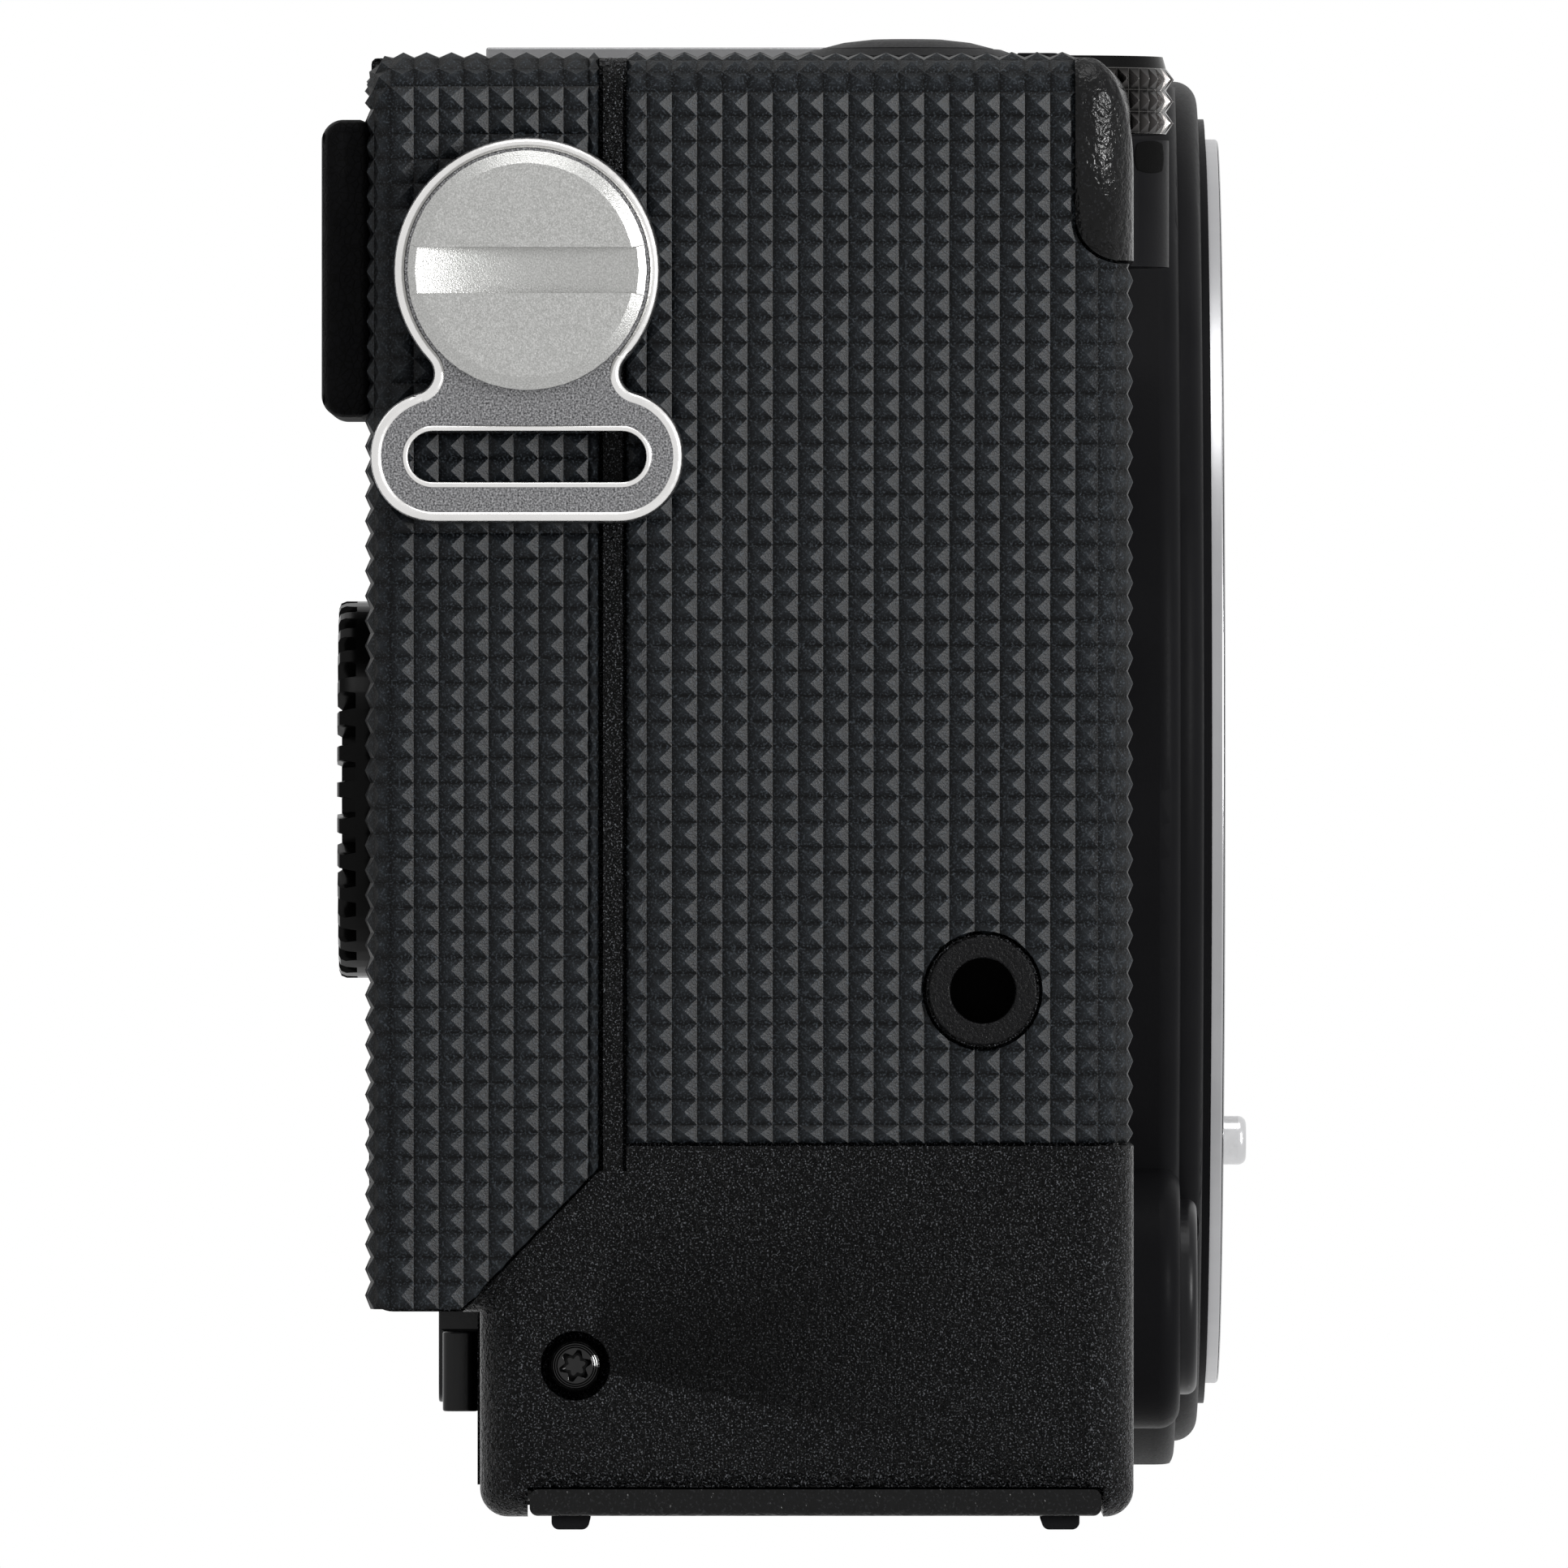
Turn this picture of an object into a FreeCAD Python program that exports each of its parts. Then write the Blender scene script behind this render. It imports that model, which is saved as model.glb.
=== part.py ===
import FreeCAD, Part
import os
import re
import Sketcher

# Compact mirrorless camera, in millimetres. +Z is up, the lens flange faces -Y and the grip end
# is at -X. The origin is the middle of the outer box, on the surface that the feet stand on.

SIZES = {
    # Shell, seen from the grip end and from above
    "half_width": 56.0,
    "front_depth": 14.25,
    "grip_swell": 1.6,
    "back_depth": 14.4,
    "frame_step": 0.15,
    "bulge_swell": 5.15,
    "bulge_foot": 10.0,
    "bulge_width": 27.4,
    "base_face": 0.57,
    "top_face": 67.75,
    "skin_rise": 0.3,
    "skin_depth": 0.7,
    "wall": 1.5,
    "end_depth": 6.0,
    "end_wall": 2.3,
    "rim_radius": 2.4,
    "corner_radius": 1.3,
    "brow_radius": 2.5,
    "brow_corner": 2.1,
    "front_seam_drop": 9.35,
    "back_seam_drop": 1.55,
    "slack": 0.1,
    "run_gap": 0.05,
    # Skins
    "skin_foot": 17.66,
    "skin_top_wrap": 4.0,
    "skin_front_reach": 26.0,
    "shoulder_set": 1.1,
    "rib_set": 6.91,
    "rib_room": 1.26,
    "rib_width": 0.9,
    "skin_back_wrap": 3.0,
    "skin_left_reach": 16.0,
    "slant_rise": 6.5,
    "slant_step": 0.65,
    # Lens mount
    "lens_x": 6.0,
    "lens_z": 35.4,
    "flange_radius": 29.74,
    "flange_depth": 0.69,
    "seat_step": 0.34,
    "ring_gap": 0.96,
    "tower_lip": 1.8,
    "tower_depth": 5.2,
    "tower_round": 1.1,
    "plinth_lip": 1.5,
    "plinth_depth": 4.1,
    "plinth_round": 1.0,
    "flange_width": 3.94,
    "barrel_wall": 0.6,
    "barrel_reach": 2.59,
    "claw_reach": 1.5,
    "claw_depth": 1.3,
    "claw_sweep": 58.0,
    "spigot_wall": 4.0,
    "spigot_depth": 2.75,
    "ledge_step": 0.6,
    "ledge_reach": 0.2,
    "flange_screw_set": 2.2,
    "flange_screw_radius": 1.1,
    "flange_screw_reach": 4.79,
    "contact_width": 4.8,
    "contact_step": 0.5,
    "contact_sweep": 56.0,
    "contact_pin_set": 3.0,
    "contact_pin_radius": 0.45,
    "contact_pin_reach": 0.8,
    # Lens release
    "release_side": 26.6,
    "release_drop": 25.2,
    "release_radius": 4.6,
    "release_sink": 0.3,
    "release_depth": 1.75,
    "release_stem": 2.5,
    "release_travel": 1.5,
    "lobe_wall": 1.6,
    "pin_angle": 39.74,
    "pin_radius": 1.15,
    "pin_reach": 1.07,
    "pin_length": 8.05,
    # Inner chassis, shutter and sensor
    "chassis_depth": 1.2,
    "chassis_edge": 1.6,
    "chassis_side": 3.0,
    "chassis_foot": 4.0,
    "chassis_rise": 21.6,
    "post_dx": 27.5,
    "post_dz": 17.0,
    "post_radius": 2.2,
    "post_neck": 1.4,
    "flange_focal": 19.68,
    "sensor_depth": 1.7,
    "sensor_border": 1.5,
    "glass_depth": 1.1,
    "glass_half_x": 15.0,
    "glass_half_z": 11.0,
    "bracket_depth": 1.2,
    "board_gap": 5.1,
    "board_depth": 1.2,
    "board_foot": 10.0,
    "chip_width": 16.0,
    "chip_height": 13.0,
    "chip_depth": 1.5,
    "chip_gap": 4.0,
    "baffle_half_x": 15.0,
    "baffle_half_z": 11.0,
    "baffle_wall": 0.8,
    "baffle_flange": 27.0,
    "shutter_gap": 0.3,
    "shutter_depth": 3.2,
    "shutter_half_x": 18.0,
    "shutter_drop": 17.5,
    "shutter_rise": 14.0,
    "gate_half_x": 12.5,
    "gate_half_z": 8.5,
    "blade_depth": 0.2,
    "blade_pitch": 0.65,
    "blade_height": 6.5,
    "blade_rest": 2.1,
    "blade_half_x": 15.7,
    # Battery, card and door
    "tray_width": 20.3,
    "tray_gap": 0.25,
    "tray_top": 45.2,
    "tray_wall": 0.8,
    "battery_gap": 0.15,
    "card_thickness": 2.1,
    "card_half_y": 11.2,
    "card_foot": 2.6,
    "card_height": 32.0,
    "socket_foot": 12.0,
    "door_set": 2.45,
    "door_face": 0.64,
    "door_depth": 1.23,
    "door_inset": 1.2,
    "door_pin": 0.45,
    "door_round": 0.4,
    "latch_inset": 5.0,
    "latch_length": 5.8,
    "latch_half_y": 2.9,
    "latch_travel": 2.0,
    "latch_ridge": 1.2,
    "latch_cut": 0.5,
    "foot_width": 1.74,
    "foot_length": 12.0,
    "foot_inset": 1.0,
    # Tripod socket
    "tripod_radius": 7.5,
    "tripod_bore": 3.175,
    "tripod_top": 9.0,
    # Top controls
    "shutter_inset": 12.0,
    "shutter_set": 8.8,
    "lever_width": 1.1,
    "lever_height": 0.6,
    "lever_tab_half": 1.2,
    "lever_tab_reach": 1.6,
    "release_proud": 1.05,
    "release_cap": 4.1,
    "release_cap_depth": 2.2,
    "release_cap_round": 0.45,
    "release_shaft": 1.5,
    "release_stroke": 0.8,
    "well_wall": 1.6,
    "dial_inset": 22.0,
    "dial_set": 1.55,
    "dial_radius": 5.25,
    "dial_depth": 3.6,
    "dial_proud": 0.45,
    "dial_housing": 5.0,
    "dial_cup": 6.6,
    "dial_pin": 1.2,
    "window_length": 1.3,
    "window_height": 1.4,
    "window_depth": 2.2,
    "window_rise": 4.4,
    "mode_inset": 22.0,
    "mode_y": 1.0,
    "mode_radius": 9.0,
    "mode_height": 1.85,
    "movie_inset": 24.8,
    "movie_y": 4.0,
    "movie_radius": 2.0,
    "button_proud": 0.35,
    "button_travel": 0.3,
    "shoe_front": -4.0,
    "shoe_side": 1.55,
    "shoe_slot_half": 9.35,
    "shoe_rail": 2.95,
    "shoe_sink": 1.45,
    "shoe_plate": 0.9,
    "shoe_slot": 2.0,
    "shoe_lip": 1.0,
    "shoe_leaf": 0.25,
    "lamp_side": 28.5,
    "lamp_rise": 4.2,
    "lamp_radius": 1.9,
    # Back controls
    "wheel_inset": 12.0,
    "wheel_z": 34.05,
    "wheel_radius": 8.73,
    "wheel_proud": 1.3,
    "wheel_rim": 1.93,
    "wheel_teeth": 32.0,
    "tooth_depth": 0.4,
    "tooth_reach": 1.33,
    "well_depth": 2.05,
    "hub_wall": 0.5,
    "pad_sink": 0.55,
    "ok_radius": 2.7,
    "button_radius": 2.4,
    "menu_side": 3.5,
    "play_side": 6.5,
    "button_drop": 16.55,
    "rest_inset": 1.8,
    "rest_length": 21.2,
    "rest_drop": 1.3,
    "rest_height": 13.7,
    "rest_depth": 2.0,
    "rest_round": 1.0,
    # Monitor
    "tub_inset": 1.9,
    "tub_edge": 2.0,
    "tub_foot": 4.7,
    "tub_drop": 7.0,
    "tub_depth": 2.8,
    "tub_wall": 1.0,
    "arm_depth": 1.0,
    "arm_gap": 0.15,
    "arm_inset": 16.7,
    "arm_edge": 15.0,
    "monitor_gap": 0.5,
    "monitor_rise": 0.6,
    "monitor_drop": 3.9,
    "monitor_proud": 2.05,
    "monitor_round": 1.0,
    "hinge_set": 0.45,
    "tilt_set": 1.25,
    "hinge_rise": 2.0,
    "hinge_radius": 1.2,
    "hinge_pin": 0.6,
    "ear_width": 2.0,
    "tab_width": 1.5,
    "tab_drop": 0.4,
    "tab_height": 3.75,
    "screen_border": 3.0,
    "screen_depth": 0.9,
    # Side fittings
    "socket_set": 5.36,
    "socket_z": 24.8,
    "socket_radius": 2.5,
    "socket_bore": 1.5,
    "socket_proud": 0.15,
    "screw_set": 4.55,
    "screw_z": 7.55,
    "screw_head": 1.25,
    "screw_recess": 1.6,
    "screw_shank": 0.8,
    "screw_sink": 0.35,
    "boss_radius": 2.2,
    "lug_set": 2.35,
    "lug_left_y": 6.5,
    "lug_depth": 9.85,
    "lug_gap": 0.3,
    "lug_plate": 1.3,
    "lug_ring": 6.125,
    "lug_neck": 0.9,
    "lug_drop": 8.55,
    "lug_half_y": 7.2,
    "lug_half_z": 3.05,
    "lug_slot_y": 5.6,
    "lug_slot_z": 1.3,
    "stud_radius": 3.0,
    "coin_radius": 5.5,
    "coin_depth": 1.2,
    "coin_bevel": 0.6,
    "coin_shank": 1.6,
    "coin_slot": 2.1,
    "coin_slot_depth": 0.75,
    "port_y": 0.0,
    "port_half_y": 6.0,
    "port_foot": 14.0,
    "port_height": 26.0,
    "port_cover": 1.1,
    "port_pin": 0.4,
    "port_shell": 0.3,
    "port_tongue": 0.6,
    "jack_low_half": 4.5,
    "jack_low_foot": 3.0,
    "jack_low_height": 3.2,
    "jack_high_half": 3.6,
    "jack_high_foot": 10.0,
    "jack_high_height": 5.0,
}

# Places and sizes that follow from the driving sizes
PLACES = {
    "grip_end": "-half_width",
    "inner_grip": "end_depth - half_width",
    "inner_left": "half_width - end_depth",
    "front_face": "-front_depth",
    "grip_face": "front_face - grip_swell",
    "back_face": "back_depth",
    "frame_back": "back_face - frame_step",
    "bulge_face": "back_face + bulge_swell",
    "bulge_end": "bulge_width - half_width",
    "skin_top": "top_face + skin_rise",
    "front_seam": "top_face - front_seam_drop",
    "back_seam": "top_face - back_seam_drop",
    "skin_front_end": "skin_front_reach - half_width",
    "shoulder": "front_face + shoulder_set",
    "rib_front": "back_face - rib_set",
    "rib_back": "rib_front + rib_room",
    "skin_left_start": "half_width - skin_left_reach",
    "slant_top": "bulge_foot + slant_rise",
    "slant_end": "back_face + slant_step",
    "ring_radius": "flange_radius + ring_gap",
    "tower_radius": "ring_radius + tower_lip",
    "plinth_radius": "tower_radius + plinth_lip",
    "throat_radius": "flange_radius - flange_width",
    "seat_bore": "throat_radius + barrel_wall + run_gap",
    "spigot_radius": "throat_radius + spigot_wall",
    "ledge_radius": "throat_radius - ledge_reach",
    "screw_ring": "throat_radius + flange_screw_set",
    "contact_inner": "ledge_radius - contact_width",
    "contact_ring": "ledge_radius - contact_pin_set",
    "plinth_face": "front_face - plinth_depth",
    "tower_face": "front_face - tower_depth",
    "flange_seat": "tower_face - seat_step",
    "flange_face": "flange_seat - flange_depth",
    "barrel_end": "flange_seat + barrel_reach",
    "ledge_face": "barrel_end + ledge_step",
    "spigot_end": "front_face + spigot_depth",
    "flange_screw_end": "flange_seat + flange_screw_reach",
    "contact_front": "ledge_face + slack",
    "contact_back": "spigot_end - contact_step",
    "contact_pin_tip": "contact_front - contact_pin_reach",
    "release_x": "lens_x - release_side",
    "release_z": "lens_z - release_drop",
    "release_face": "tower_face + release_sink",
    "release_back": "release_face + release_depth",
    "lobe_radius": "release_radius + lobe_wall",
    "pin_x": "lens_x - screw_ring * cos(pin_angle)",
    "pin_z": "lens_z - screw_ring * sin(pin_angle)",
    "pin_tip": "flange_face - pin_reach",
    "pin_end": "pin_tip + pin_length",
    "chassis_face": "front_face + wall",
    "chassis_back": "chassis_face + chassis_depth",
    "chassis_left": "bulge_end + chassis_edge",
    "chassis_right": "inner_left - chassis_side",
    "chassis_top": "lens_z + chassis_rise",
    "sensor_face": "flange_face + flange_focal",
    "glass_face": "sensor_face - glass_depth",
    "shutter_back": "glass_face - shutter_gap",
    "shutter_face": "shutter_back - shutter_depth",
    "bracket_face": "sensor_face + sensor_depth",
    "board_face": "bracket_face + board_gap",
    "board_back": "board_face + board_depth",
    "shutter_foot": "lens_z - shutter_drop",
    "shutter_head": "lens_z + shutter_rise",
    "blade_park": "shutter_foot + blade_rest",
    "tray_half_y": "front_depth - wall - tray_gap",
    "tray_outer": "end_wall - half_width + 3 * slack",
    "tray_inner": "tray_outer + tray_width",
    "card_face": "tray_inner + tray_wall - run_gap",
    "card_top": "card_foot + card_height",
    "door_front": "front_face - slack",
    "door_back": "back_face - door_set",
    "door_top": "door_face + door_depth",
    "door_hinge_x": "bulge_end - door_inset",
    "door_pin_x": "door_hinge_x - door_pin",
    "door_pin_z": "(door_face + door_top) / 2",
    "latch_x": "latch_inset - half_width",
    "foot_front": "door_front + foot_inset + foot_width / 2",
    "foot_back": "door_back - foot_inset - foot_width / 2",
    "shutter_x": "shutter_inset - half_width",
    "shutter_y": "front_face + shutter_set",
    "lever_bore": "release_cap + 2 * slack",
    "lever_radius": "lever_bore + lever_width",
    "release_dome": "top_face + release_proud",
    "release_cap_foot": "release_dome - release_cap_depth",
    "boss_foot": "back_seam - 2 * well_wall",
    "dial_x": "dial_inset - half_width",
    "dial_y": "front_face + dial_set",
    "dial_top": "top_face + dial_proud",
    "dial_foot": "dial_top - dial_depth",
    "window_x": "dial_x - dial_housing",
    "window_y": "dial_y - dial_housing + window_length / 4",
    "window_z": "front_seam + window_rise",
    "mode_x": "half_width - mode_inset",
    "mode_top": "top_face + mode_height",
    "movie_x": "movie_inset - half_width",
    "shoe_half_x": "shoe_slot_half + shoe_side",
    "shoe_gate_half": "shoe_slot_half - shoe_rail",
    "shoe_floor": "top_face - shoe_sink",
    "shoe_base": "shoe_floor - shoe_plate",
    "shoe_top": "shoe_floor + shoe_slot + shoe_lip",
    "lamp_x": "lens_x - lamp_side",
    "lamp_z": "front_seam + lamp_rise",
    "wheel_x": "wheel_inset - half_width",
    "well_floor": "bulge_face - well_depth",
    "wheel_foot": "well_floor + button_travel + run_gap",
    "wheel_face": "bulge_face + wheel_proud",
    "wheel_bore": "wheel_radius - wheel_rim",
    "pad_face": "wheel_face - pad_sink",
    "menu_x": "wheel_x - menu_side",
    "play_x": "wheel_x + play_side",
    "key_z": "wheel_z - button_drop",
    "rest_left": "rest_inset - half_width",
    "rest_right": "rest_left + rest_length",
    "rest_top": "back_seam - rest_drop",
    "rest_foot": "rest_top - rest_height",
    "rest_face": "bulge_face + rest_depth",
    "tub_left": "bulge_end + tub_inset",
    "tub_right": "inner_left - tub_edge",
    "tub_top": "back_seam - tub_drop",
    "tub_floor": "back_face - tub_depth",
    "tub_back": "tub_floor - tub_wall",
    "arm_left": "tub_left + arm_inset",
    "arm_right": "tub_right - arm_edge",
    "arm_face": "tub_floor + arm_gap",
    "monitor_left": "tub_left + tab_width + monitor_gap - slack",
    "monitor_right": "tub_right - monitor_gap",
    "monitor_foot": "tub_foot + monitor_rise",
    "monitor_top": "tub_top - monitor_drop",
    "monitor_front": "arm_face + arm_depth + arm_gap",
    "monitor_face": "back_face + monitor_proud",
    "shelf_foot": "monitor_top + 3 * slack",
    "hinge_y": "monitor_face - hinge_set",
    "hinge_z": "monitor_top + hinge_rise",
    "low_hinge_y": "monitor_face - tilt_set",
    "low_hinge_z": "monitor_foot + monitor_round",
    "tab_foot": "monitor_foot - tab_drop",
    "tab_top": "tab_foot + tab_height",
    "socket_y": "front_face + socket_set",
    "screw_y": "back_face - screw_set",
    "lug_y": "back_face - lug_set",
    "lug_z": "top_face - lug_depth",
    "lug_inner": "half_width + lug_gap",
    "lug_outer": "lug_inner + lug_plate",
    "coin_inner": "lug_outer + 2 * run_gap",
    "coin_outer": "coin_inner + coin_depth",
    "port_top": "port_foot + port_height",
    "port_back": "half_width - port_cover",
    "port_bay": "inner_left + wall",
    "port_hinge_x": "half_width - port_cover / 2",
    "port_hinge_y": "port_y + port_half_y - slack - port_cover / 2",
}

# Spreadsheet of the driving sizes, then of the places that follow from them
doc = FreeCAD.newDocument("mirrorless_camera")
sheet = doc.addObject("Spreadsheet::Sheet", "Sizes")
for row, (alias, entry) in enumerate({**SIZES, **PLACES}.items(), start=1):
    sheet.set(f"A{row}", alias)
    sheet.set(f"B{row}", f"={entry}" if alias in PLACES else str(entry))
    sheet.setAlias(f"B{row}", alias)
doc.recompute()

AXIS_TURN = {
    "x": FreeCAD.Rotation(FreeCAD.Vector(0, 1, 0), 90),
    "y": FreeCAD.Rotation(FreeCAD.Vector(1, 0, 0), -90),
    "z": FreeCAD.Rotation(),
}
OUTLINE_TURN = {
    "x": FreeCAD.Rotation(FreeCAD.Vector(1, 1, 1), 120),
    "y": FreeCAD.Rotation(FreeCAD.Vector(1, 0, 0), 90),
    "z": FreeCAD.Rotation(),
}
ACROSS = {"x": ("y", "z"), "y": ("x", "z"), "z": ("x", "y")}
OVERCUT = 1.0
PIN_COUNT = 10  # contacts in the row behind the mount
pieces = {}


# Formulas and placing

def formula(text):
    """Put the sheet's name before each alias in a formula."""
    names = {**SIZES, **PLACES}
    return re.sub(r"[a-z_]+", lambda word: f"Sizes.{word[0]}" if word[0] in names else word[0], str(text))


def number(text):
    """Work out a formula as a number."""
    return float(sheet.evalExpression(formula(text)))


def bind(item, prop, text):
    """Tie a property to a formula on the sheet."""
    item.setExpression(prop, formula(text))


def place(item, turn, **at):
    """Turn an item and tie its place to formulas."""
    item.Placement = FreeCAD.Placement(FreeCAD.Vector(), turn)
    for axis, text in at.items():
        bind(item, "Placement.Base." + axis, text)


def keep(item, label):
    """Label a finished sub-part and list it for writing."""
    item.Label = label
    pieces[label] = item
    return item


# Solids

def box(name, x, y, z):
    """Block between pairs of formulas along X, Y and Z."""
    item = doc.addObject("Part::Box", name)
    for prop, axis, (low, high) in zip(("Length", "Width", "Height"), "xyz", (x, y, z)):
        bind(item, prop, f"({high}) - ({low})")
        bind(item, "Placement.Base." + axis, low)
    return item


def rod(name, axis, centre, span, radius):
    """Round bar along an axis; centre gives its two other coordinates."""
    item = doc.addObject("Part::Cylinder", name)
    low, high = span
    first, second = ACROSS[axis]
    place(item, AXIS_TURN[axis], **{axis: low, first: centre[0], second: centre[1]})
    bind(item, "Radius", radius)
    bind(item, "Height", f"({high}) - ({low})")
    return item


def fuse(name, *items):
    """Join solids into one."""
    item = doc.addObject("Part::MultiFuse", name)
    item.Shapes = list(items)
    item.Refine = True
    return item


def cut(name, base, *tools):
    """Take one or more tools out of a solid."""
    item = doc.addObject("Part::Cut", name)
    item.Base = base
    item.Tool = tools[0] if len(tools) == 1 else fuse(name + "_tools", *tools)
    return item


def common(name, first, second):
    """Keep what two solids share."""
    item = doc.addObject("Part::Common", name)
    item.Base = first
    item.Tool = second
    return item


def tube(name, axis, centre, span, radius, bore):
    """Round bar with a hole right through it."""
    low, high = span
    bar = rod(name + "_bar", axis, centre, span, radius)
    hole = rod(name + "_hole", axis, centre, (f"({low}) - {OVERCUT}", f"({high}) + {OVERCUT}"), bore)
    return cut(name, bar, hole)


def sector(name, radius, bore, sweep, middle, span):
    """Arc of a tube about the lens axis, centred on an angle seen from the front."""
    low, high = span
    half = number(sweep) / 2
    turn = FreeCAD.Rotation(FreeCAD.Vector(0, 1, 0), -(middle + half)).multiply(AXIS_TURN["y"])
    bar = doc.addObject("Part::Cylinder", name + "_bar")
    place(bar, turn, y=low, x="lens_x", z="lens_z")
    bind(bar, "Radius", radius)
    bind(bar, "Height", f"({high}) - ({low})")
    bind(bar, "Angle", sweep)
    hole = rod(name + "_hole", "y", ("lens_x", "lens_z"),
               (f"({low}) - {OVERCUT}", f"({high}) + {OVERCUT}"), bore)
    return cut(name, bar, hole)


def origin_plane(body, role):
    """Find one of a body's own origin planes."""
    return next(plane for plane in body.Origin.OriginFeatures if plane.Role == role)


def draw(sketch, outline):
    """Draw a closed outline of straight lines whose corners are tied to formulas."""
    corners = [FreeCAD.Vector(number(u), number(v), 0) for u, v in outline]
    count = len(outline)
    for index in range(count):
        sketch.addGeometry(Part.LineSegment(corners[index], corners[(index + 1) % count]))
    for index in range(count):
        sketch.addConstraint(Sketcher.Constraint("Coincident", index, 2, (index + 1) % count, 1))
    for index, (u, v) in enumerate(outline):
        for kind, text, at in (("DistanceX", u, corners[index].x), ("DistanceY", v, corners[index].y)):
            mark = sketch.addConstraint(Sketcher.Constraint(kind, -1, 1, index, 1, at))
            sketch.setExpression(f"Constraints[{mark}]", formula(text))


def plate(name, axis, outline, span):
    """Pad an outline along an axis; the outline gives the two other coordinates."""
    body = doc.addObject("PartDesign::Body", name)
    sketch = body.newObject("Sketcher::SketchObject", name + "_outline")
    sketch.AttachmentSupport = (origin_plane(body, "XY_Plane"), [""])
    sketch.MapMode = "FlatFace"
    draw(sketch, outline)
    pad = body.newObject("PartDesign::Pad", name + "_pad")
    pad.Profile = sketch
    low, high = span
    bind(pad, "Length", f"({high}) - ({low})")
    place(body, OUTLINE_TURN[axis], **{axis: high if axis == "y" else low})
    return body


def turned(name, axis, centre, profile):
    """Turn a profile of radius and height corners about an axis."""
    body = doc.addObject("PartDesign::Body", name)
    sketch = body.newObject("Sketcher::SketchObject", name + "_profile")
    sketch.AttachmentSupport = (origin_plane(body, "XZ_Plane"), [""])
    sketch.MapMode = "FlatFace"
    draw(sketch, profile)
    spin = body.newObject("PartDesign::Revolution", name + "_turn")
    spin.Profile = sketch
    spin.ReferenceAxis = (sketch, ["V_Axis"])
    spin.Angle = 360
    first, second = ACROSS[axis]
    place(body, AXIS_TURN[axis], **{first: centre[0], second: centre[1]})
    return body


def rounded(name, base, radius, chosen):
    """Round the edges that a test picks out."""
    doc.recompute([base])
    size = number(radius)
    item = doc.addObject("Part::Fillet", name)
    item.Base = base
    item.Edges = [(index, size, size) for index, edge in enumerate(base.Shape.Edges, 1) if chosen(edge)]
    return item


def along(axis, test=lambda middle: True):
    """Test for straight edges along an axis whose middle passes a further test."""
    def chosen(edge):
        ends = [vertex.Point for vertex in edge.Vertexes]
        if len(ends) < 2 or edge.Curve.TypeId != "Part::GeomLine":
            return False
        run = ends[1] - ends[0]
        if abs(getattr(run, axis)) < 0.999 * run.Length:
            return False
        return test((ends[0] + ends[1]) * 0.5)
    return chosen


def at_level(axis, text, test=lambda middle: True):
    """Test for edges that lie wholly at one coordinate."""
    level = number(text)

    def chosen(edge):
        span = edge.BoundBox
        low = getattr(span, axis.upper() + "Min")
        high = getattr(span, axis.upper() + "Max")
        return abs(low - level) < 1e-4 and abs(high - level) < 1e-4 and test(span.Center)
    return chosen


def near(value, text):
    """True where a coordinate equals a formula."""
    return abs(value - number(text)) < 1e-4


def both_sides(side, low, high):
    """Span from low to high outwards on the +X side, or its mirror on the -X side."""
    return (low, high) if side > 0 else (f"-({high})", f"-({low})")


# Grip end, its skins and the frame under them

def grip_block(name, inset):
    """Rounded block of the grip side with the thumb bulge behind it; the core is the same, set in."""
    side = f"{inset} - half_width"
    top = f"skin_top - {inset}"
    front = f"grip_face + {inset}"
    back = f"bulge_face - {inset}"
    main = plate(name + "_main", "x", ((front, "base_face"), ("frame_back", "base_face"),
                 ("frame_back", top), (front, top)), (side, "bulge_end"))
    brow = rounded(name + "_brow", main, f"brow_radius - {inset}", along(
        "x", lambda p: near(p.y, front) and near(p.z, top)))
    base = rounded(name + "_base", brow, f"corner_radius - {inset}", along(
        "x", lambda p: near(p.z, "base_face")))
    main_round = rounded(name + "_main_round", base, f"rim_radius - {inset}", at_level("x", side))
    foot = f"bulge_foot + {inset}"
    bulge = plate(name + "_bulge", "x", (("rib_front", foot), (back, foot),
                  (back, top), ("rib_front", top)), (side, "bulge_end"))
    bulge_base = rounded(name + "_bulge_base", bulge, f"corner_radius - {inset}", along(
        "x", lambda p: near(p.y, back)))
    bulge_round = rounded(name + "_bulge_round", bulge_base, f"rim_radius - {inset}", at_level(
        "x", side, lambda p: not near(p.y, "rib_front")))
    return fuse(name, main_round, bulge_round)


def shoulder_room(name, top):
    """Room of the brow at the top front, whose lower back corner is rounded where the skin goes round it."""
    block = box(name + "_block", (f"grip_end - {OVERCUT}", "bulge_end"),
                (f"grip_face - {OVERCUT}", "shoulder"), ("front_seam", top))
    return rounded(name, block, "brow_corner", along(
        "x", lambda p: near(p.y, "shoulder") and near(p.z, "front_seam")))


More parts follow.
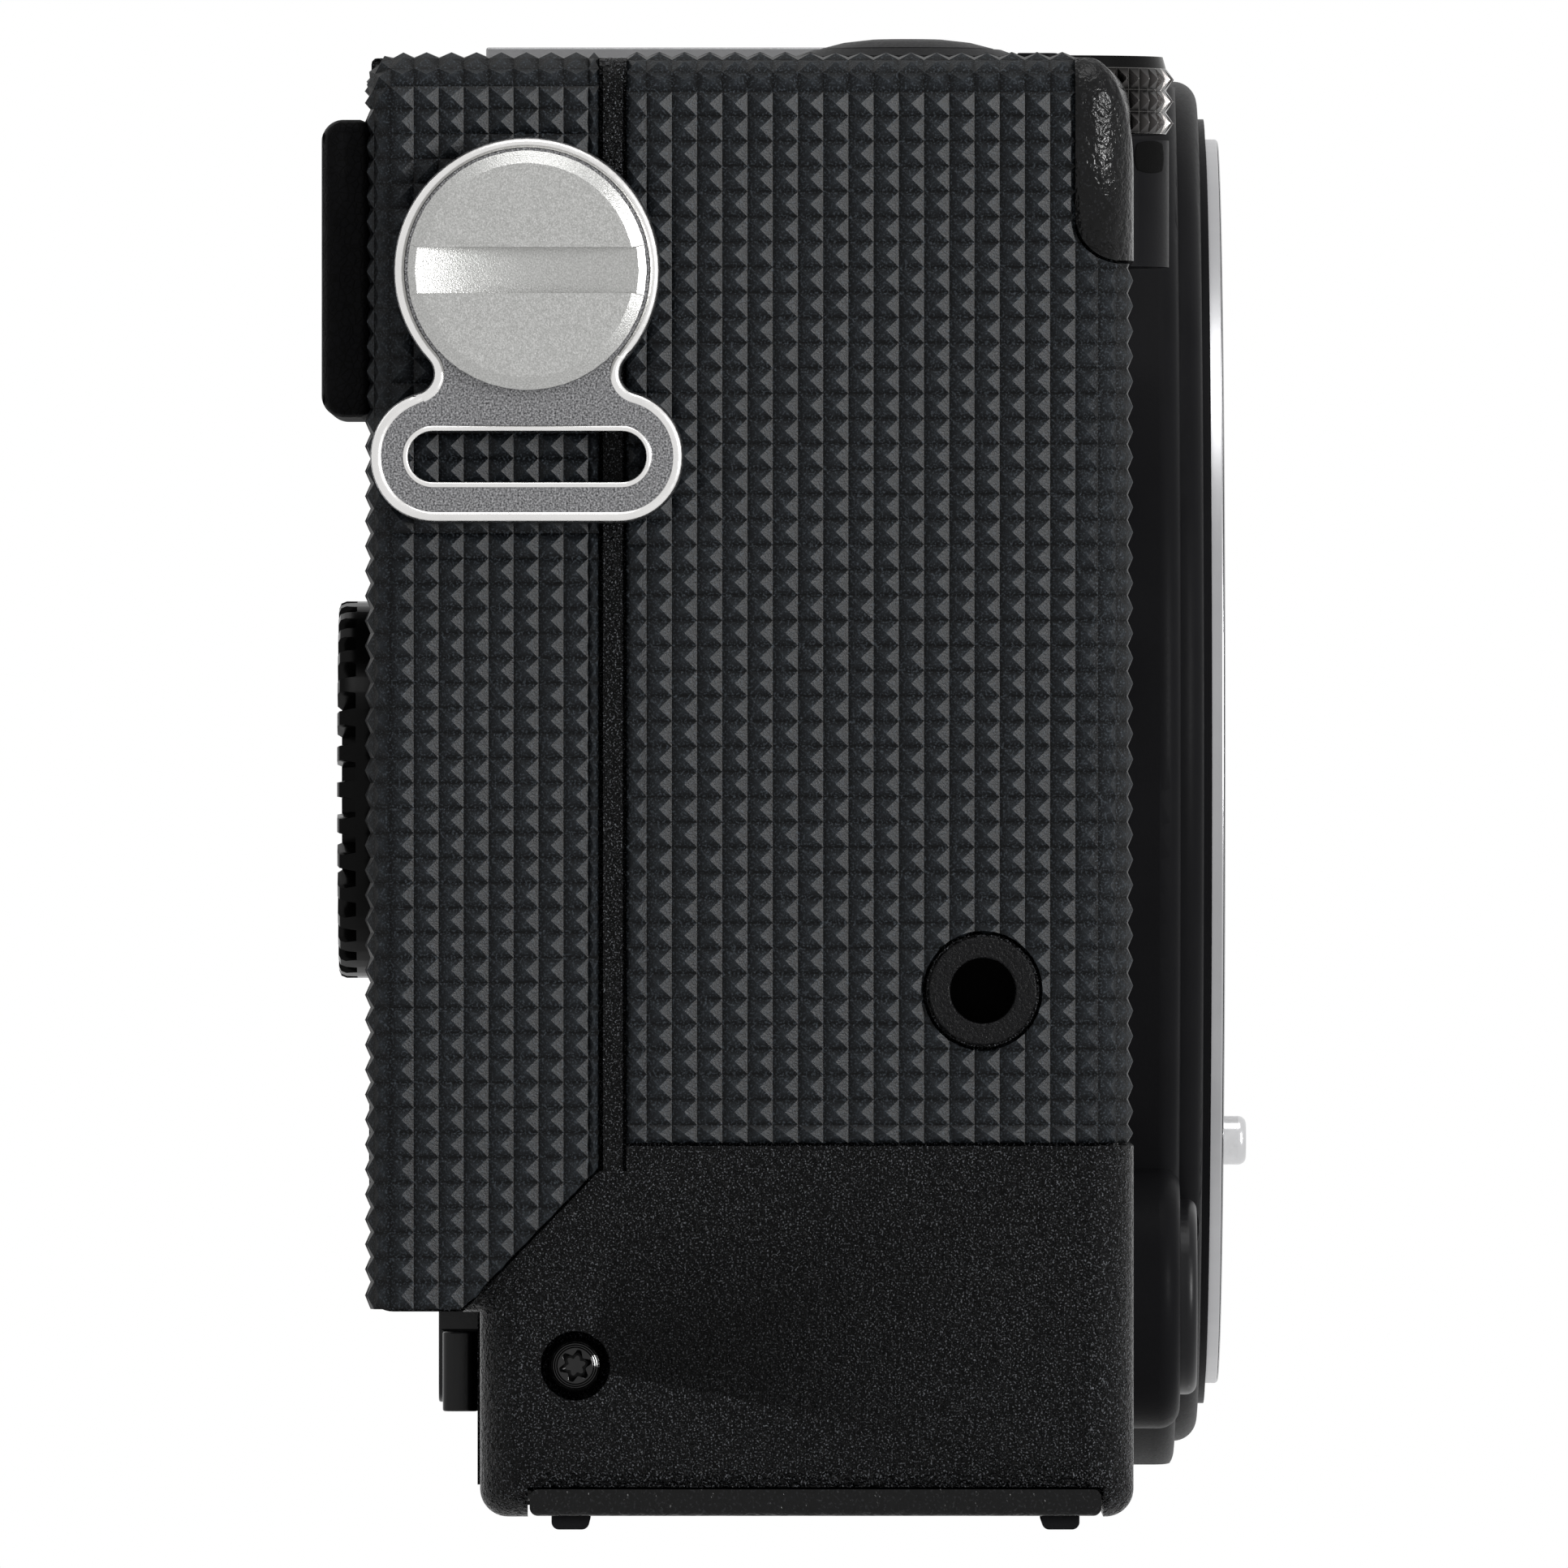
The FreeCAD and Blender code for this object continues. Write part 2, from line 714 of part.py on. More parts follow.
def make_grip_end():
    """Skins, end frame and the outer block that other covers on the grip side share."""
    outer = grip_block("grip_outer", "0")
    core = grip_block("grip_core", "skin_depth")
    outside = f"grip_end - {OVERCUT}"
    far_up = f"skin_top + {OVERCUT}"
    brow_room = shoulder_room("end_shoulder", far_up)
    side_x = (outside, "skin_top_wrap - half_width")
    front_side = box("front_zone_side", side_x, ("shoulder", "rib_front"), ("skin_foot", far_up))
    corner_block = box("front_zone_corner_block", side_x, ("shoulder - brow_corner", "shoulder"),
                       ("front_seam", "front_seam + brow_corner"))
    front_corner = cut("front_zone_corner", corner_block, brow_room)
    front_band = box("front_zone_band", (outside, "skin_front_end"),
                     (f"grip_face - {OVERCUT}", "shoulder"), ("skin_foot", "front_seam"))
    front_zone = fuse("front_zone", front_side, front_corner, front_band)
    socket_hole = rod("front_skin_socket_hole", "x", ("socket_y", "socket_z"),
                      (outside, "inner_grip"), "socket_radius + slack")
    front_skin = cut("front_skin", common("front_skin_shell", outer, front_zone), core, socket_hole)
    keep(front_skin, "grip_skin_front")

    far_back = f"bulge_face + {OVERCUT}"
    low = f"bulge_foot - {OVERCUT}"
    rear_outline = (("rib_back", "slant_top"), ("slant_end", "bulge_foot"), ("slant_end", low),
                    (far_back, low), (far_back, far_up), ("rib_back", far_up))
    rear_zone = plate("rear_zone", "x", rear_outline, (outside, "skin_back_wrap - half_width"))
    stud_hole = rod("rear_skin_stud_hole", "x", ("lug_y", "lug_z"), (outside, "inner_grip"), "stud_radius")
    rear_skin = cut("rear_skin", common("rear_skin_shell", outer, rear_zone), core, stud_hole)
    keep(rear_skin, "grip_skin_rear")

    slab = common("end_slab", outer, box("end_range", (outside, "inner_grip"),
                  (f"grip_face - {OVERCUT}", far_back), ("0", far_up)))
    pocket_x = ("end_wall - half_width", f"inner_grip + {OVERCUT}")
    pocket = box("end_pocket", pocket_x, ("front_face + wall / 2", "tray_half_y + slack"),
                 ("0", "back_seam - wall / 2"))
    bulge_pocket = box("end_bulge_pocket", pocket_x, ("tray_half_y", "well_floor - wall / 2"),
                       ("bulge_foot + wall", "back_seam - wall / 2"))
    door_room = box("end_door_room", (outside, "inner_grip"), ("door_front - slack", "door_back + slack"),
                    ("0", "door_top + slack"))
    groove_x = (outside, "skin_depth - half_width")
    groove_z = ("slant_top", far_up)
    groove_front = box("rib_groove_front", groove_x, ("rib_front", "(rib_front + rib_back - rib_width) / 2"),
                       groove_z)
    groove_back = box("rib_groove_back", groove_x, ("(rib_front + rib_back + rib_width) / 2", "rib_back"),
                      groove_z)
    holes = [
        rod("end_stud_hole", "x", ("lug_y", "lug_z"), (outside, "inner_grip"), "stud_radius"),
        rod("end_socket_hole", "x", ("socket_y", "socket_z"), (outside, "inner_grip"), "socket_radius"),
        rod("end_screw_recess", "x", ("screw_y", "screw_z"),
            (outside, "screw_sink + screw_head - half_width"), "screw_recess"),
        wheel_well("end_wheel_well"),
    ]
    shell = cut("end_shell", slab, front_skin, rear_skin, brow_room, pocket, bulge_pocket, door_room,
                groove_front, groove_back, *holes)
    boss = rod("end_screw_boss", "x", ("screw_y", "screw_z"), ("end_wall - half_width", "inner_grip"),
               "boss_radius")
    shank_hole = rod("end_screw_hole", "x", ("screw_y", "screw_z"), (outside, "inner_grip"), "screw_shank")
    keep(cut("end_frame", fuse("end_with_boss", shell, boss), shank_hole), "grip_end_frame")
    return outer, front_skin


def make_left_end():
    """Left end casting with its skin, the port bay and the lug's seat."""
    blocks = {}
    for name, inset in (("left_outer", "0"), ("left_core", "skin_depth")):
        corners = [
            (f"front_face + {inset}", "base_face"),
            (f"back_face - {inset}", "base_face"),
            (f"back_face - {inset}", f"top_face - {inset}"),
            (f"front_face + {inset}", f"top_face - {inset}"),
        ]
        block = plate(name + "_block", "x", corners, ("skin_left_start", f"half_width - {inset}"))
        profile = rounded(name + "_corners", block, f"corner_radius - {inset}", along("x"))
        blocks[name] = rounded(name, profile, f"rim_radius - {inset}", at_level("x", f"half_width - {inset}"))
    outside = f"half_width + {OVERCUT}"
    zone = box("left_zone", ("skin_left_start", outside), (f"front_face - {OVERCUT}", "rib_front"),
               ("skin_foot", "front_seam"))
    port_window = box("left_port_window", ("port_back - wall", outside),
                      ("port_y - port_half_y", "port_y + port_half_y"), ("port_foot", "port_top"))
    stud_hole = rod("left_skin_stud_hole", "x", ("lug_left_y", "lug_z"), ("inner_left", outside),
                    "stud_radius")
    pin_hole = rod("port_pin_hole", "z", ("port_hinge_x", "port_hinge_y"),
                   ("port_foot - wall", "port_top + wall"), "port_pin + run_gap")
    skin = cut("left_skin_piece", common("left_skin_shell", blocks["left_outer"], zone), blocks["left_core"],
               port_window, stud_hole, pin_hole)
    keep(skin, "left_skin")

    slab = common("left_slab", blocks["left_outer"], box("left_range", ("inner_left", outside),
                  (f"front_face - {OVERCUT}", f"back_face + {OVERCUT}"), ("0", f"top_face + {OVERCUT}")))
    pocket = box("left_pocket", (f"inner_left - {OVERCUT}", "half_width - end_wall"),
                 ("front_face + wall", "back_face - wall"), ("base_face + wall", "top_face - wall"))
    bay_floor = box("port_bay_block", ("inner_left", "half_width - end_wall"),
                    ("port_y - port_half_y - wall", "port_y + port_half_y + wall"),
                    ("port_foot - wall", "port_top + wall"))
    bay = box("port_bay_room", ("port_bay", outside),
              ("port_y - port_half_y", "port_y + port_half_y"), ("port_foot", "port_top"))
    seat = rod("left_stud_hole", "x", ("lug_left_y", "lug_z"), ("inner_left", outside), "stud_radius")
    shell = cut("left_shell", slab, skin, pocket)
    keep(cut("left_end", fuse("left_with_bay", shell, bay_floor), bay, pin_hole, seat), "left_end_cover")
    return skin


# Front cover, back cover, top cover and bottom plate

def main_box(name, y, z):
    """Block across the camera between the two end castings."""
    return box(name, ("inner_grip", "inner_left"), y, z)


def make_front_cover(outer, front_skin, left_skin):
    """Front shell with the grip's low bulge and the hole for the mount tower."""
    sheet_part = main_box("front_sheet", ("front_face", "front_face + wall"),
                          ("door_top + slack", "front_seam"))
    bulge_range = box("front_bulge_range", ("inner_grip", "bulge_end"),
                      (f"grip_face - {OVERCUT}", "front_face + wall"), ("0", "front_seam"))
    bulge = rounded("front_bulge", common("front_bulge_raw", outer, bulge_range), "rim_radius",
                    along("z", lambda p: near(p.x, "bulge_end") and near(p.y, "grip_face")))
    lens_hole = rod("front_lens_hole", "y", ("lens_x", "lens_z"),
                    (f"front_face - {OVERCUT}", "spigot_end"), "spigot_radius")
    release_hole = rod("front_release_hole", "y", ("release_x", "release_z"),
                       (f"front_face - {OVERCUT}", f"front_face + wall + {OVERCUT}"),
                       "release_stem + slack")
    door_room = box("front_door_room", ("grip_end", "door_hinge_x + door_pin + 2 * slack"),
                    ("door_front - slack", "0"), ("0", "door_top + slack"))
    pin_hole = rod("front_door_pin_hole", "y", ("door_pin_x", "door_pin_z"),
                   ("door_front - wall / 2", "front_face"), "door_pin + run_gap")
    tower_room = rod("front_tower_room", "y", ("lens_x", "lens_z"), (f"grip_face - {OVERCUT}", "front_face"),
                     "tower_radius + slack")
    shell = fuse("front_shell", sheet_part, bulge)
    keep(cut("front_piece", shell, front_skin, left_skin, lens_hole, release_hole, door_room, pin_hole,
             tower_room), "front_cover")


def wheel_well(name):
    """Round well that the toothed wheel turns in."""
    return rod(name, "y", ("wheel_x", "wheel_z"), ("well_floor", f"bulge_face + {OVERCUT}"),
               "wheel_radius + 2 * slack")


def make_rear_cover(outer):
    """Back shell with the monitor's tub, the thumb bulge and the wells for the back controls."""
    sheet_part = main_box("rear_sheet", ("tub_back", "back_face"), ("door_top + slack", "back_seam"))
    far_back = f"bulge_face + {OVERCUT}"
    bulge_range = box("rear_bulge_range", ("inner_grip", "bulge_end"), ("tub_back", far_back),
                      ("0", "back_seam"))
    bulge = rounded("rear_bulge", common("rear_bulge_raw", outer, bulge_range), "rim_radius",
                    along("z", lambda p: near(p.x, "bulge_end") and near(p.y, "bulge_face")))
    tub = box("rear_tub", ("tub_left", "tub_right"), ("tub_floor", far_back), ("tub_foot", "tub_top"))
    relief = box("rear_grip_relief", (f"inner_grip - {OVERCUT}", "bulge_end - slack"),
                 ("0", "tray_half_y + slack"), ("0", "back_seam - wall"))
    cavity = box("rear_bulge_cavity", (f"inner_grip - {OVERCUT}", "bulge_end - wall - slack"),
                 ("0", "well_floor - wall / 2"), ("bulge_foot + wall", "back_seam - wall"))
    hub = tube("rear_hub", "y", ("wheel_x", "wheel_z"), ("well_floor", "pad_face - 2 * run_gap"),
               "wheel_bore - run_gap", "wheel_bore - hub_wall")
    button_holes = [
        rod(f"rear_{name}_hole", "y", (f"{name}_x", "key_z"), ("well_floor", far_back),
            "button_radius + slack")
        for name in ("menu", "play")
    ]
    door_room = box("rear_door_room", ("grip_end", "door_hinge_x + door_pin + 2 * slack"),
                    ("0", "door_back + slack"), ("0", "door_top + slack"))
    pin_hole = rod("rear_door_pin_hole", "y", ("door_pin_x", "door_pin_z"),
                   ("door_back", "door_back + wall + slack"), "door_pin + run_gap")
    shoe_notch = box("rear_shoe_notch", ("lens_x - shoe_half_x", "lens_x + shoe_half_x"),
                     ("0", far_back), ("shoe_base", f"top_face + {OVERCUT}"))
    shell = cut("rear_shell", fuse("rear_raw", sheet_part, bulge), tub, relief, cavity,
                wheel_well("rear_wheel_well"), door_room, pin_hole, shoe_notch, *button_holes)
    knuckles = [
        knuckle(f"rear_knuckle_{index}", span, "back_face - wall")
        for index, span in enumerate((
            ("arm_left - run_gap - ear_width", "arm_left - run_gap"),
            ("arm_right + run_gap", "arm_right + run_gap + ear_width"),
        ))
    ]
    keep(fuse("rear_piece", shell, hub, *knuckles), "rear_cover")


def knuckle(name, span, root):
    """Eye of the monitor's upper hinge, standing out of the back cover above the tub."""
    eye = rod(name + "_eye", "x", ("hinge_y", "hinge_z"), span, "hinge_radius")
    stem = box(name + "_stem", span, (root, "hinge_y"),
               ("hinge_z", "tub_top + wall"))
    bore = rod(name + "_bore", "x", ("hinge_y", "hinge_z"),
               (f"{span[0]} - {OVERCUT}", f"{span[1]} + {OVERCUT}"), "hinge_pin + run_gap")
    return cut(name, fuse(name + "_solid", eye, stem), bore)


def make_top_cover(outer):
    """Top shell with the shutter well, the front dial's cup, the mode dial's pin and the shoe's seat."""
    sheet_block = main_box("top_sheet_block", ("front_face", "back_face"), ("back_seam", "top_face"))
    sheet_part = rounded("top_sheet", sheet_block, "corner_radius",
                         along("x", lambda p: near(p.z, "top_face")))
    far_back = f"bulge_face + {OVERCUT}"
    grip_range = box("top_grip_range", ("inner_grip", "bulge_end"), (f"grip_face - {OVERCUT}", far_back),
                     ("back_seam", "top_face"))
    grip_part = common("top_grip_part", outer, grip_range)
    brow_part = common("top_brow_part", outer, shoulder_room("top_brow_range", "top_face"))
    front_wall = box("top_front_wall", ("bulge_end", "inner_left"), ("front_face", "front_face + wall"),
                     ("front_seam", "back_seam"))
    dial_post = rod("top_dial_post", "z", ("dial_x", "dial_y"), ("front_seam", "back_seam"), "dial_housing")
    dial_cup = common("top_dial_cup", rod("top_dial_cup_rod", "z", ("dial_x", "dial_y"),
                      ("front_seam", "top_face"), "dial_cup"),
                      box("top_dial_cup_range", ("inner_grip", "lens_x"), ("front_face", "0"),
                          ("front_seam", "top_face")))
    shutter_boss = rod("top_shutter_boss", "z", ("shutter_x", "shutter_y"),
                       ("boss_foot", "back_seam"), "release_cap + well_wall")
    shoe_base = box("top_shoe_base", ("lens_x - shoe_half_x - wall", "lens_x + shoe_half_x + wall"),
                    ("shoe_front - wall", "tub_back - slack"),
                    ("shoe_base - wall", "back_seam"))
    solid = fuse("top_solid", sheet_part, grip_part, brow_part, front_wall, dial_post, dial_cup,
                 shutter_boss, shoe_base)
    above = f"top_face + {OVERCUT}"
    dial_room = rod("top_dial_room", "z", ("dial_x", "dial_y"), ("dial_foot - 3 * slack", above),
                    "dial_radius + 3 * slack")
    cap_room = rod("top_cap_room", "z", ("shutter_x", "shutter_y"),
                   ("release_cap_foot - release_stroke - 2 * slack", above), "release_cap + run_gap")
    shaft_room = rod("top_shaft_room", "z", ("shutter_x", "shutter_y"),
                     (f"boss_foot - {OVERCUT}", above), "release_shaft + run_gap")
    movie_room = rod("top_movie_room", "z", ("movie_x", "movie_y"),
                     (f"back_seam - {OVERCUT}", above), "movie_radius + slack")
    shoe_room = box("top_shoe_room", ("lens_x - shoe_half_x", "lens_x + shoe_half_x"),
                    ("shoe_front", far_back), ("shoe_base", above))
    lamp_room = rod("top_lamp_room", "y", ("lamp_x", "lamp_z"),
                    (f"front_face - {OVERCUT}", f"front_face + wall + {OVERCUT}"), "lamp_radius")
    window_room = box("top_window_room", (f"window_x - {OVERCUT}", f"window_x - {OVERCUT} + window_depth"),
                      ("window_y", "window_y + window_length"), ("window_z", "window_z + window_height"))
    lens_room = rod("top_lens_room", "y", ("lens_x", "lens_z"),
                    (f"front_face - {OVERCUT}", "spigot_end"), "spigot_radius")
    shell = cut("top_shell", solid, dial_room, cap_room, shaft_room, movie_room, shoe_room, lamp_room,
                window_room, lens_room)
    dial_pin = rod("top_dial_pin", "z", ("dial_x", "dial_y"), ("dial_foot - 4 * slack", "dial_top - wall"),
                   "dial_pin")
    mode_pin = rod("top_mode_pin", "z", ("mode_x", "mode_y"), ("back_seam", "mode_top - wall / 2"),
                   "dial_pin")
    movie_floor = box("top_movie_floor", ("movie_x - movie_radius", "movie_x + movie_radius"),
                      ("movie_y - movie_radius", "movie_y + movie_radius"),
                      (f"back_seam - {OVERCUT}", "back_seam"))
    keep(fuse("top_piece", shell, dial_pin, mode_pin, movie_floor), "top_cover")


def make_bottom_cover():
    """Bottom plate from the door's hinge to the left end, with the tripod bush's hole."""
    block = box("bottom_block", ("bulge_end", "inner_left"), ("front_face", "back_face"),
                ("door_face", "door_top"))
    plate_part = rounded("bottom_plate", block, "door_round", along("x", lambda p: near(p.z, "door_face")))
    hole = rod("bottom_tripod_hole", "z", ("lens_x", "0"), ("0", f"door_top + {OVERCUT}"), "tripod_radius")
    keep(cut("bottom_piece", plate_part, hole), "bottom_cover")
    bush = tube("tripod_bush", "z", ("lens_x", "0"), ("door_face", "tripod_top"), "tripod_radius",
                "tripod_bore")
    keep(bush, "tripod_socket")
    feet = [
        strip_foot(f"bottom_foot_{index}", ("inner_left - foot_length", "inner_left"), y)
        for index, y in enumerate(("foot_front", "foot_back"))
    ]
    keep(fuse("bottom_feet_group", *feet), "bottom_feet")


def strip_foot(name, x, middle):
    """Rounded strip foot whose sole lies on the ground."""
    strip = box(name + "_strip", x, (f"{middle} - foot_width / 2", f"{middle} + foot_width / 2"),
                ("0", "door_face"))
    return rounded(name, strip, "foot_width / 5", along("x", lambda p: abs(p.z) < 1e-4))


# Lens mount

def make_mount():
    """Tower, flange with three claws, screws and the contact block."""
    lens = ("lens_x", "lens_z")
    pin_place = ("pin_x", "pin_z")
    screw_places = [
        (f"lens_x + screw_ring * cos({angle})", f"lens_z + screw_ring * sin({angle})")
        for angle in (55, 125, 235, 305)
    ]
    tower_profile = (
        ("seat_bore", "flange_seat"),
        ("ring_radius", "flange_seat"),
        ("ring_radius", "tower_face"),
        ("tower_radius", "tower_face"),
        ("tower_radius", "front_face"),
        ("spigot_radius", "front_face"),
        ("spigot_radius", "spigot_end"),
        ("ledge_radius", "spigot_end"),
        ("ledge_radius", "ledge_face"),
        ("seat_bore", "ledge_face"),
    )
    ring = turned("tower_ring", "y", lens, tower_profile)
    at_face = at_level("y", "tower_face")
    tower_edge = rounded("tower_edge", ring, "tower_round", lambda edge: at_face(edge) and near(
        edge.Curve.Radius, "tower_radius"))
    plinth_disc = rod("plinth_disc", "y", lens, ("plinth_face", "front_face"), "plinth_radius")
    plinth_edge = rounded("plinth_edge", plinth_disc, "plinth_round", at_level("y", "plinth_face"))
    plinth = common("plinth", plinth_edge, box("plinth_range",
                    ("lens_x - plinth_radius", "lens_x + plinth_radius"), ("plinth_face", "front_face"),
                    ("door_top", "top_face - 3 * slack")))
    lobe = rod("release_lobe", "y", ("release_x", "release_z"), ("plinth_face", "front_face"), "lobe_radius")
    lobe_edge = rounded("release_lobe_edge", lobe, "plinth_round", at_level("y", "plinth_face"))
    base = fuse("plinth_and_lobe", plinth, lobe_edge)
    bore = rod("plinth_bore", "y", lens, (f"plinth_face - {OVERCUT}", f"front_face + {OVERCUT}"),
               "tower_radius - wall")
    release_well = rod("release_well", "y", ("release_x", "release_z"),
                       (f"tower_face - {OVERCUT}", "release_back + release_travel + 2 * slack"),
                       "release_radius + slack")
    release_bore = rod("release_bore", "y", ("release_x", "release_z"),
                       ("plinth_face", f"spigot_end + {OVERCUT}"), "release_stem + run_gap")
    pin_bore = rod("tower_pin_bore", "y", pin_place, (f"pin_tip - {OVERCUT}", f"spigot_end + {OVERCUT}"),
                   "pin_radius + run_gap")
    screws = [
        rod(f"mount_screw_{index}", "y", spot, ("flange_face + slack", "flange_screw_end"),
            "flange_screw_radius")
        for index, spot in enumerate(screw_places)
    ]
    screw_group = fuse("mount_screw_group", *screws)
    tower = fuse("tower_solid", tower_edge, cut("plinth_ring", base, bore))
    keep(cut("tower_piece", tower, release_well, release_bore, pin_bore, screw_group), "mount_tower")
    keep(screw_group, "mount_screws")

    flange_profile = (
        ("throat_radius", "flange_face"),
        ("flange_radius - slack", "flange_face"),
        ("flange_radius", "flange_face + slack"),
        ("flange_radius", "flange_seat"),
        ("throat_radius + barrel_wall", "flange_seat"),
        ("throat_radius + barrel_wall", "barrel_end"),
        ("throat_radius", "barrel_end"),
    )
    flange = turned("flange_ring", "y", lens, flange_profile)
    claws = [
        sector(f"claw_{index}", "throat_radius", "throat_radius - claw_reach", "claw_sweep",
               90 + 120 * index, ("barrel_end - claw_depth", "barrel_end"))
        for index in range(3)
    ]
    screw_holes = [
        rod(f"flange_screw_hole_{index}", "y", spot, (f"flange_face - {OVERCUT}", "flange_screw_end"),
            "flange_screw_radius")
        for index, spot in enumerate(screw_places)
    ]
    pin_hole = rod("flange_pin_hole", "y", pin_place, (f"pin_tip - {OVERCUT}", "spigot_end"),
                   "pin_radius + run_gap")
    keep(cut("flange_piece", fuse("flange_with_claws", flange, *claws), pin_hole, *screw_holes),
         "mount_flange")

    keep(sector("contact_arc", "ledge_radius", "contact_inner", "contact_sweep", 270,
                ("contact_front", "contact_back")), "contact_block")
    pins = []
    for index in range(PIN_COUNT):
        angle = f"270 + contact_sweep * ({index + 1} / {PIN_COUNT + 1} - 0.5)"
        spot = (f"lens_x + contact_ring * cos({angle})", f"lens_z + contact_ring * sin({angle})")
        pins.append(rod(f"contact_pin_{index}", "y", spot, ("contact_pin_tip", "contact_front"),
                        "contact_pin_radius"))
    keep(fuse("contact_pin_group", *pins), "contact_pins")


def make_release():
    """Lens release button and the lock pin that it draws in."""
    spot = ("release_x", "release_z")
    cap = rod("release_cap_disc", "y", spot, ("release_face", "release_back"), "release_radius")
    cap_round = rounded("release_cap_round", cap, "slack * 5", at_level("y", "release_face"))
    stem = rod("release_stem_rod", "y", spot, ("release_back", "spigot_end"), "release_stem")
    keep(fuse("release_button", cap_round, stem), "lens_release_button")
    pin = rod("lock_pin_rod", "y", ("pin_x", "pin_z"), ("pin_tip", "pin_end"), "pin_radius")
    keep(rounded("lock_pin", pin, "pin_radius / 3", at_level("y", "pin_tip")), "lens_lock_pin")


# Inside the shell

def make_chassis():
    """Inner frame with four posts, the sensor's carrier and the main board on them."""
    plate_part = box("chassis_plate", ("chassis_left", "chassis_right"), ("chassis_face", "chassis_back"),
                     ("chassis_foot", "chassis_top"))
    through = ("front_face", f"chassis_back + {OVERCUT}")
    lens_hole = rod("chassis_hole", "y", ("lens_x", "lens_z"), through, "spigot_radius")
    release_hole = rod("chassis_release_hole", "y", ("release_x", "release_z"), through,
                       "release_stem + 3 * slack")
    posts, necks, bracket_holes, board_holes = [], [], [], []
    for index, (sx, sz) in enumerate(((-1, -1), (1, -1), (-1, 1), (1, 1))):
        spot = (f"lens_x + {sx} * post_dx", f"lens_z + {sz} * post_dz")
        posts.append(rod(f"post_{index}", "y", spot, ("chassis_face", "bracket_face"), "post_radius"))
        necks.append(rod(f"post_neck_{index}", "y", spot, ("chassis_face", "board_back"), "post_neck"))
        for group, label in ((bracket_holes, "bracket"), (board_holes, "board")):
            group.append(rod(f"{label}_hole_{index}", "y", spot, ("0", f"board_back + {OVERCUT}"),
                             "post_neck"))
    frame = cut("chassis_frame", plate_part, lens_hole, release_hole)
    keep(fuse("chassis", frame, *posts, *necks), "inner_chassis")

    reach_x = "(post_dx + post_radius)"
    reach_z = "(post_dz + post_radius)"
    bracket = box("bracket_plate", (f"lens_x - {reach_x}", f"lens_x + {reach_x}"),
                  ("bracket_face", "bracket_face + bracket_depth"),
                  (f"lens_z - {reach_z}", f"lens_z + {reach_z}"))
    keep(cut("bracket", rounded("bracket_rounded", bracket, "post_radius", along("y")), *bracket_holes),
         "sensor_bracket")
    board = box("board_plate", ("chassis_left", "chassis_right"),
                ("board_face", "board_back"), ("board_foot", "chassis_top"))
    chips = []
    for column in (-1, 1):
        for row in (0, 1):
            inner = f"lens_x + {column} * chip_gap / 2"
            outer = f"lens_x + {column} * (chip_gap / 2 + chip_width)"
            foot = f"board_foot + chip_gap + {row} * (chip_height + chip_gap)"
            chips.append(box(f"chip_{column}_{row}", (outer, inner) if column < 0 else (inner, outer),
                             ("board_back", "board_back + chip_depth"), (foot, f"{foot} + chip_height")))
    keep(fuse("board", cut("board_bare", board, *board_holes), *chips), "main_board")


def make_shutter():
    """Light baffle, focal plane shutter with three blades, cover glass and sensor."""
    def window(name, half_x, half_z, y):
        return box(name, (f"lens_x - ({half_x})", f"lens_x + ({half_x})"), y,
                   (f"lens_z - ({half_z})", f"lens_z + ({half_z})"))

    disc = rod("baffle_disc", "y", ("lens_x", "lens_z"), ("spigot_end", "spigot_end + baffle_wall"),
               "baffle_flange")
    funnel = window("baffle_funnel", "baffle_half_x + baffle_wall", "baffle_half_z + baffle_wall",
                    ("spigot_end", "shutter_face"))
    light_way = window("baffle_way", "baffle_half_x", "baffle_half_z",
                       (f"spigot_end - {OVERCUT}", f"shutter_face + {OVERCUT}"))
    keep(cut("baffle", fuse("baffle_solid", disc, funnel), light_way), "light_baffle")

    case = box("shutter_case", ("lens_x - shutter_half_x", "lens_x + shutter_half_x"),
               ("shutter_face", "shutter_back"), ("shutter_foot", "shutter_head"))
    room = box("shutter_room", ("lens_x - blade_half_x - 3 * slack", "lens_x + blade_half_x + 3 * slack"),
               ("shutter_face + wall / 2", "shutter_back - wall / 3"),
               ("blade_park - 3 * slack", "shutter_head - wall"))
    gate = window("shutter_gate", "gate_half_x", "gate_half_z",
                  (f"shutter_face - {OVERCUT}", f"shutter_back + {OVERCUT}"))
    keep(cut("shutter", case, room, gate), "shutter_frame")
    for index in range(3):
        face = f"shutter_face + wall / 2 + 2 * slack + {index} * blade_pitch"
        blade = box(f"blade_{index + 1}", ("lens_x - blade_half_x", "lens_x + blade_half_x"),
                    (face, f"{face} + blade_depth"), ("blade_park", "blade_park + blade_height"))
        keep(blade, f"shutter_blade_{index + 1}")

    keep(window("cover_glass", "glass_half_x", "glass_half_z", ("glass_face", "sensor_face")), "sensor_glass")
    keep(window("sensor_chip", "glass_half_x + sensor_border", "glass_half_z + sensor_border",
                ("sensor_face", "bracket_face")),
         "image_sensor")


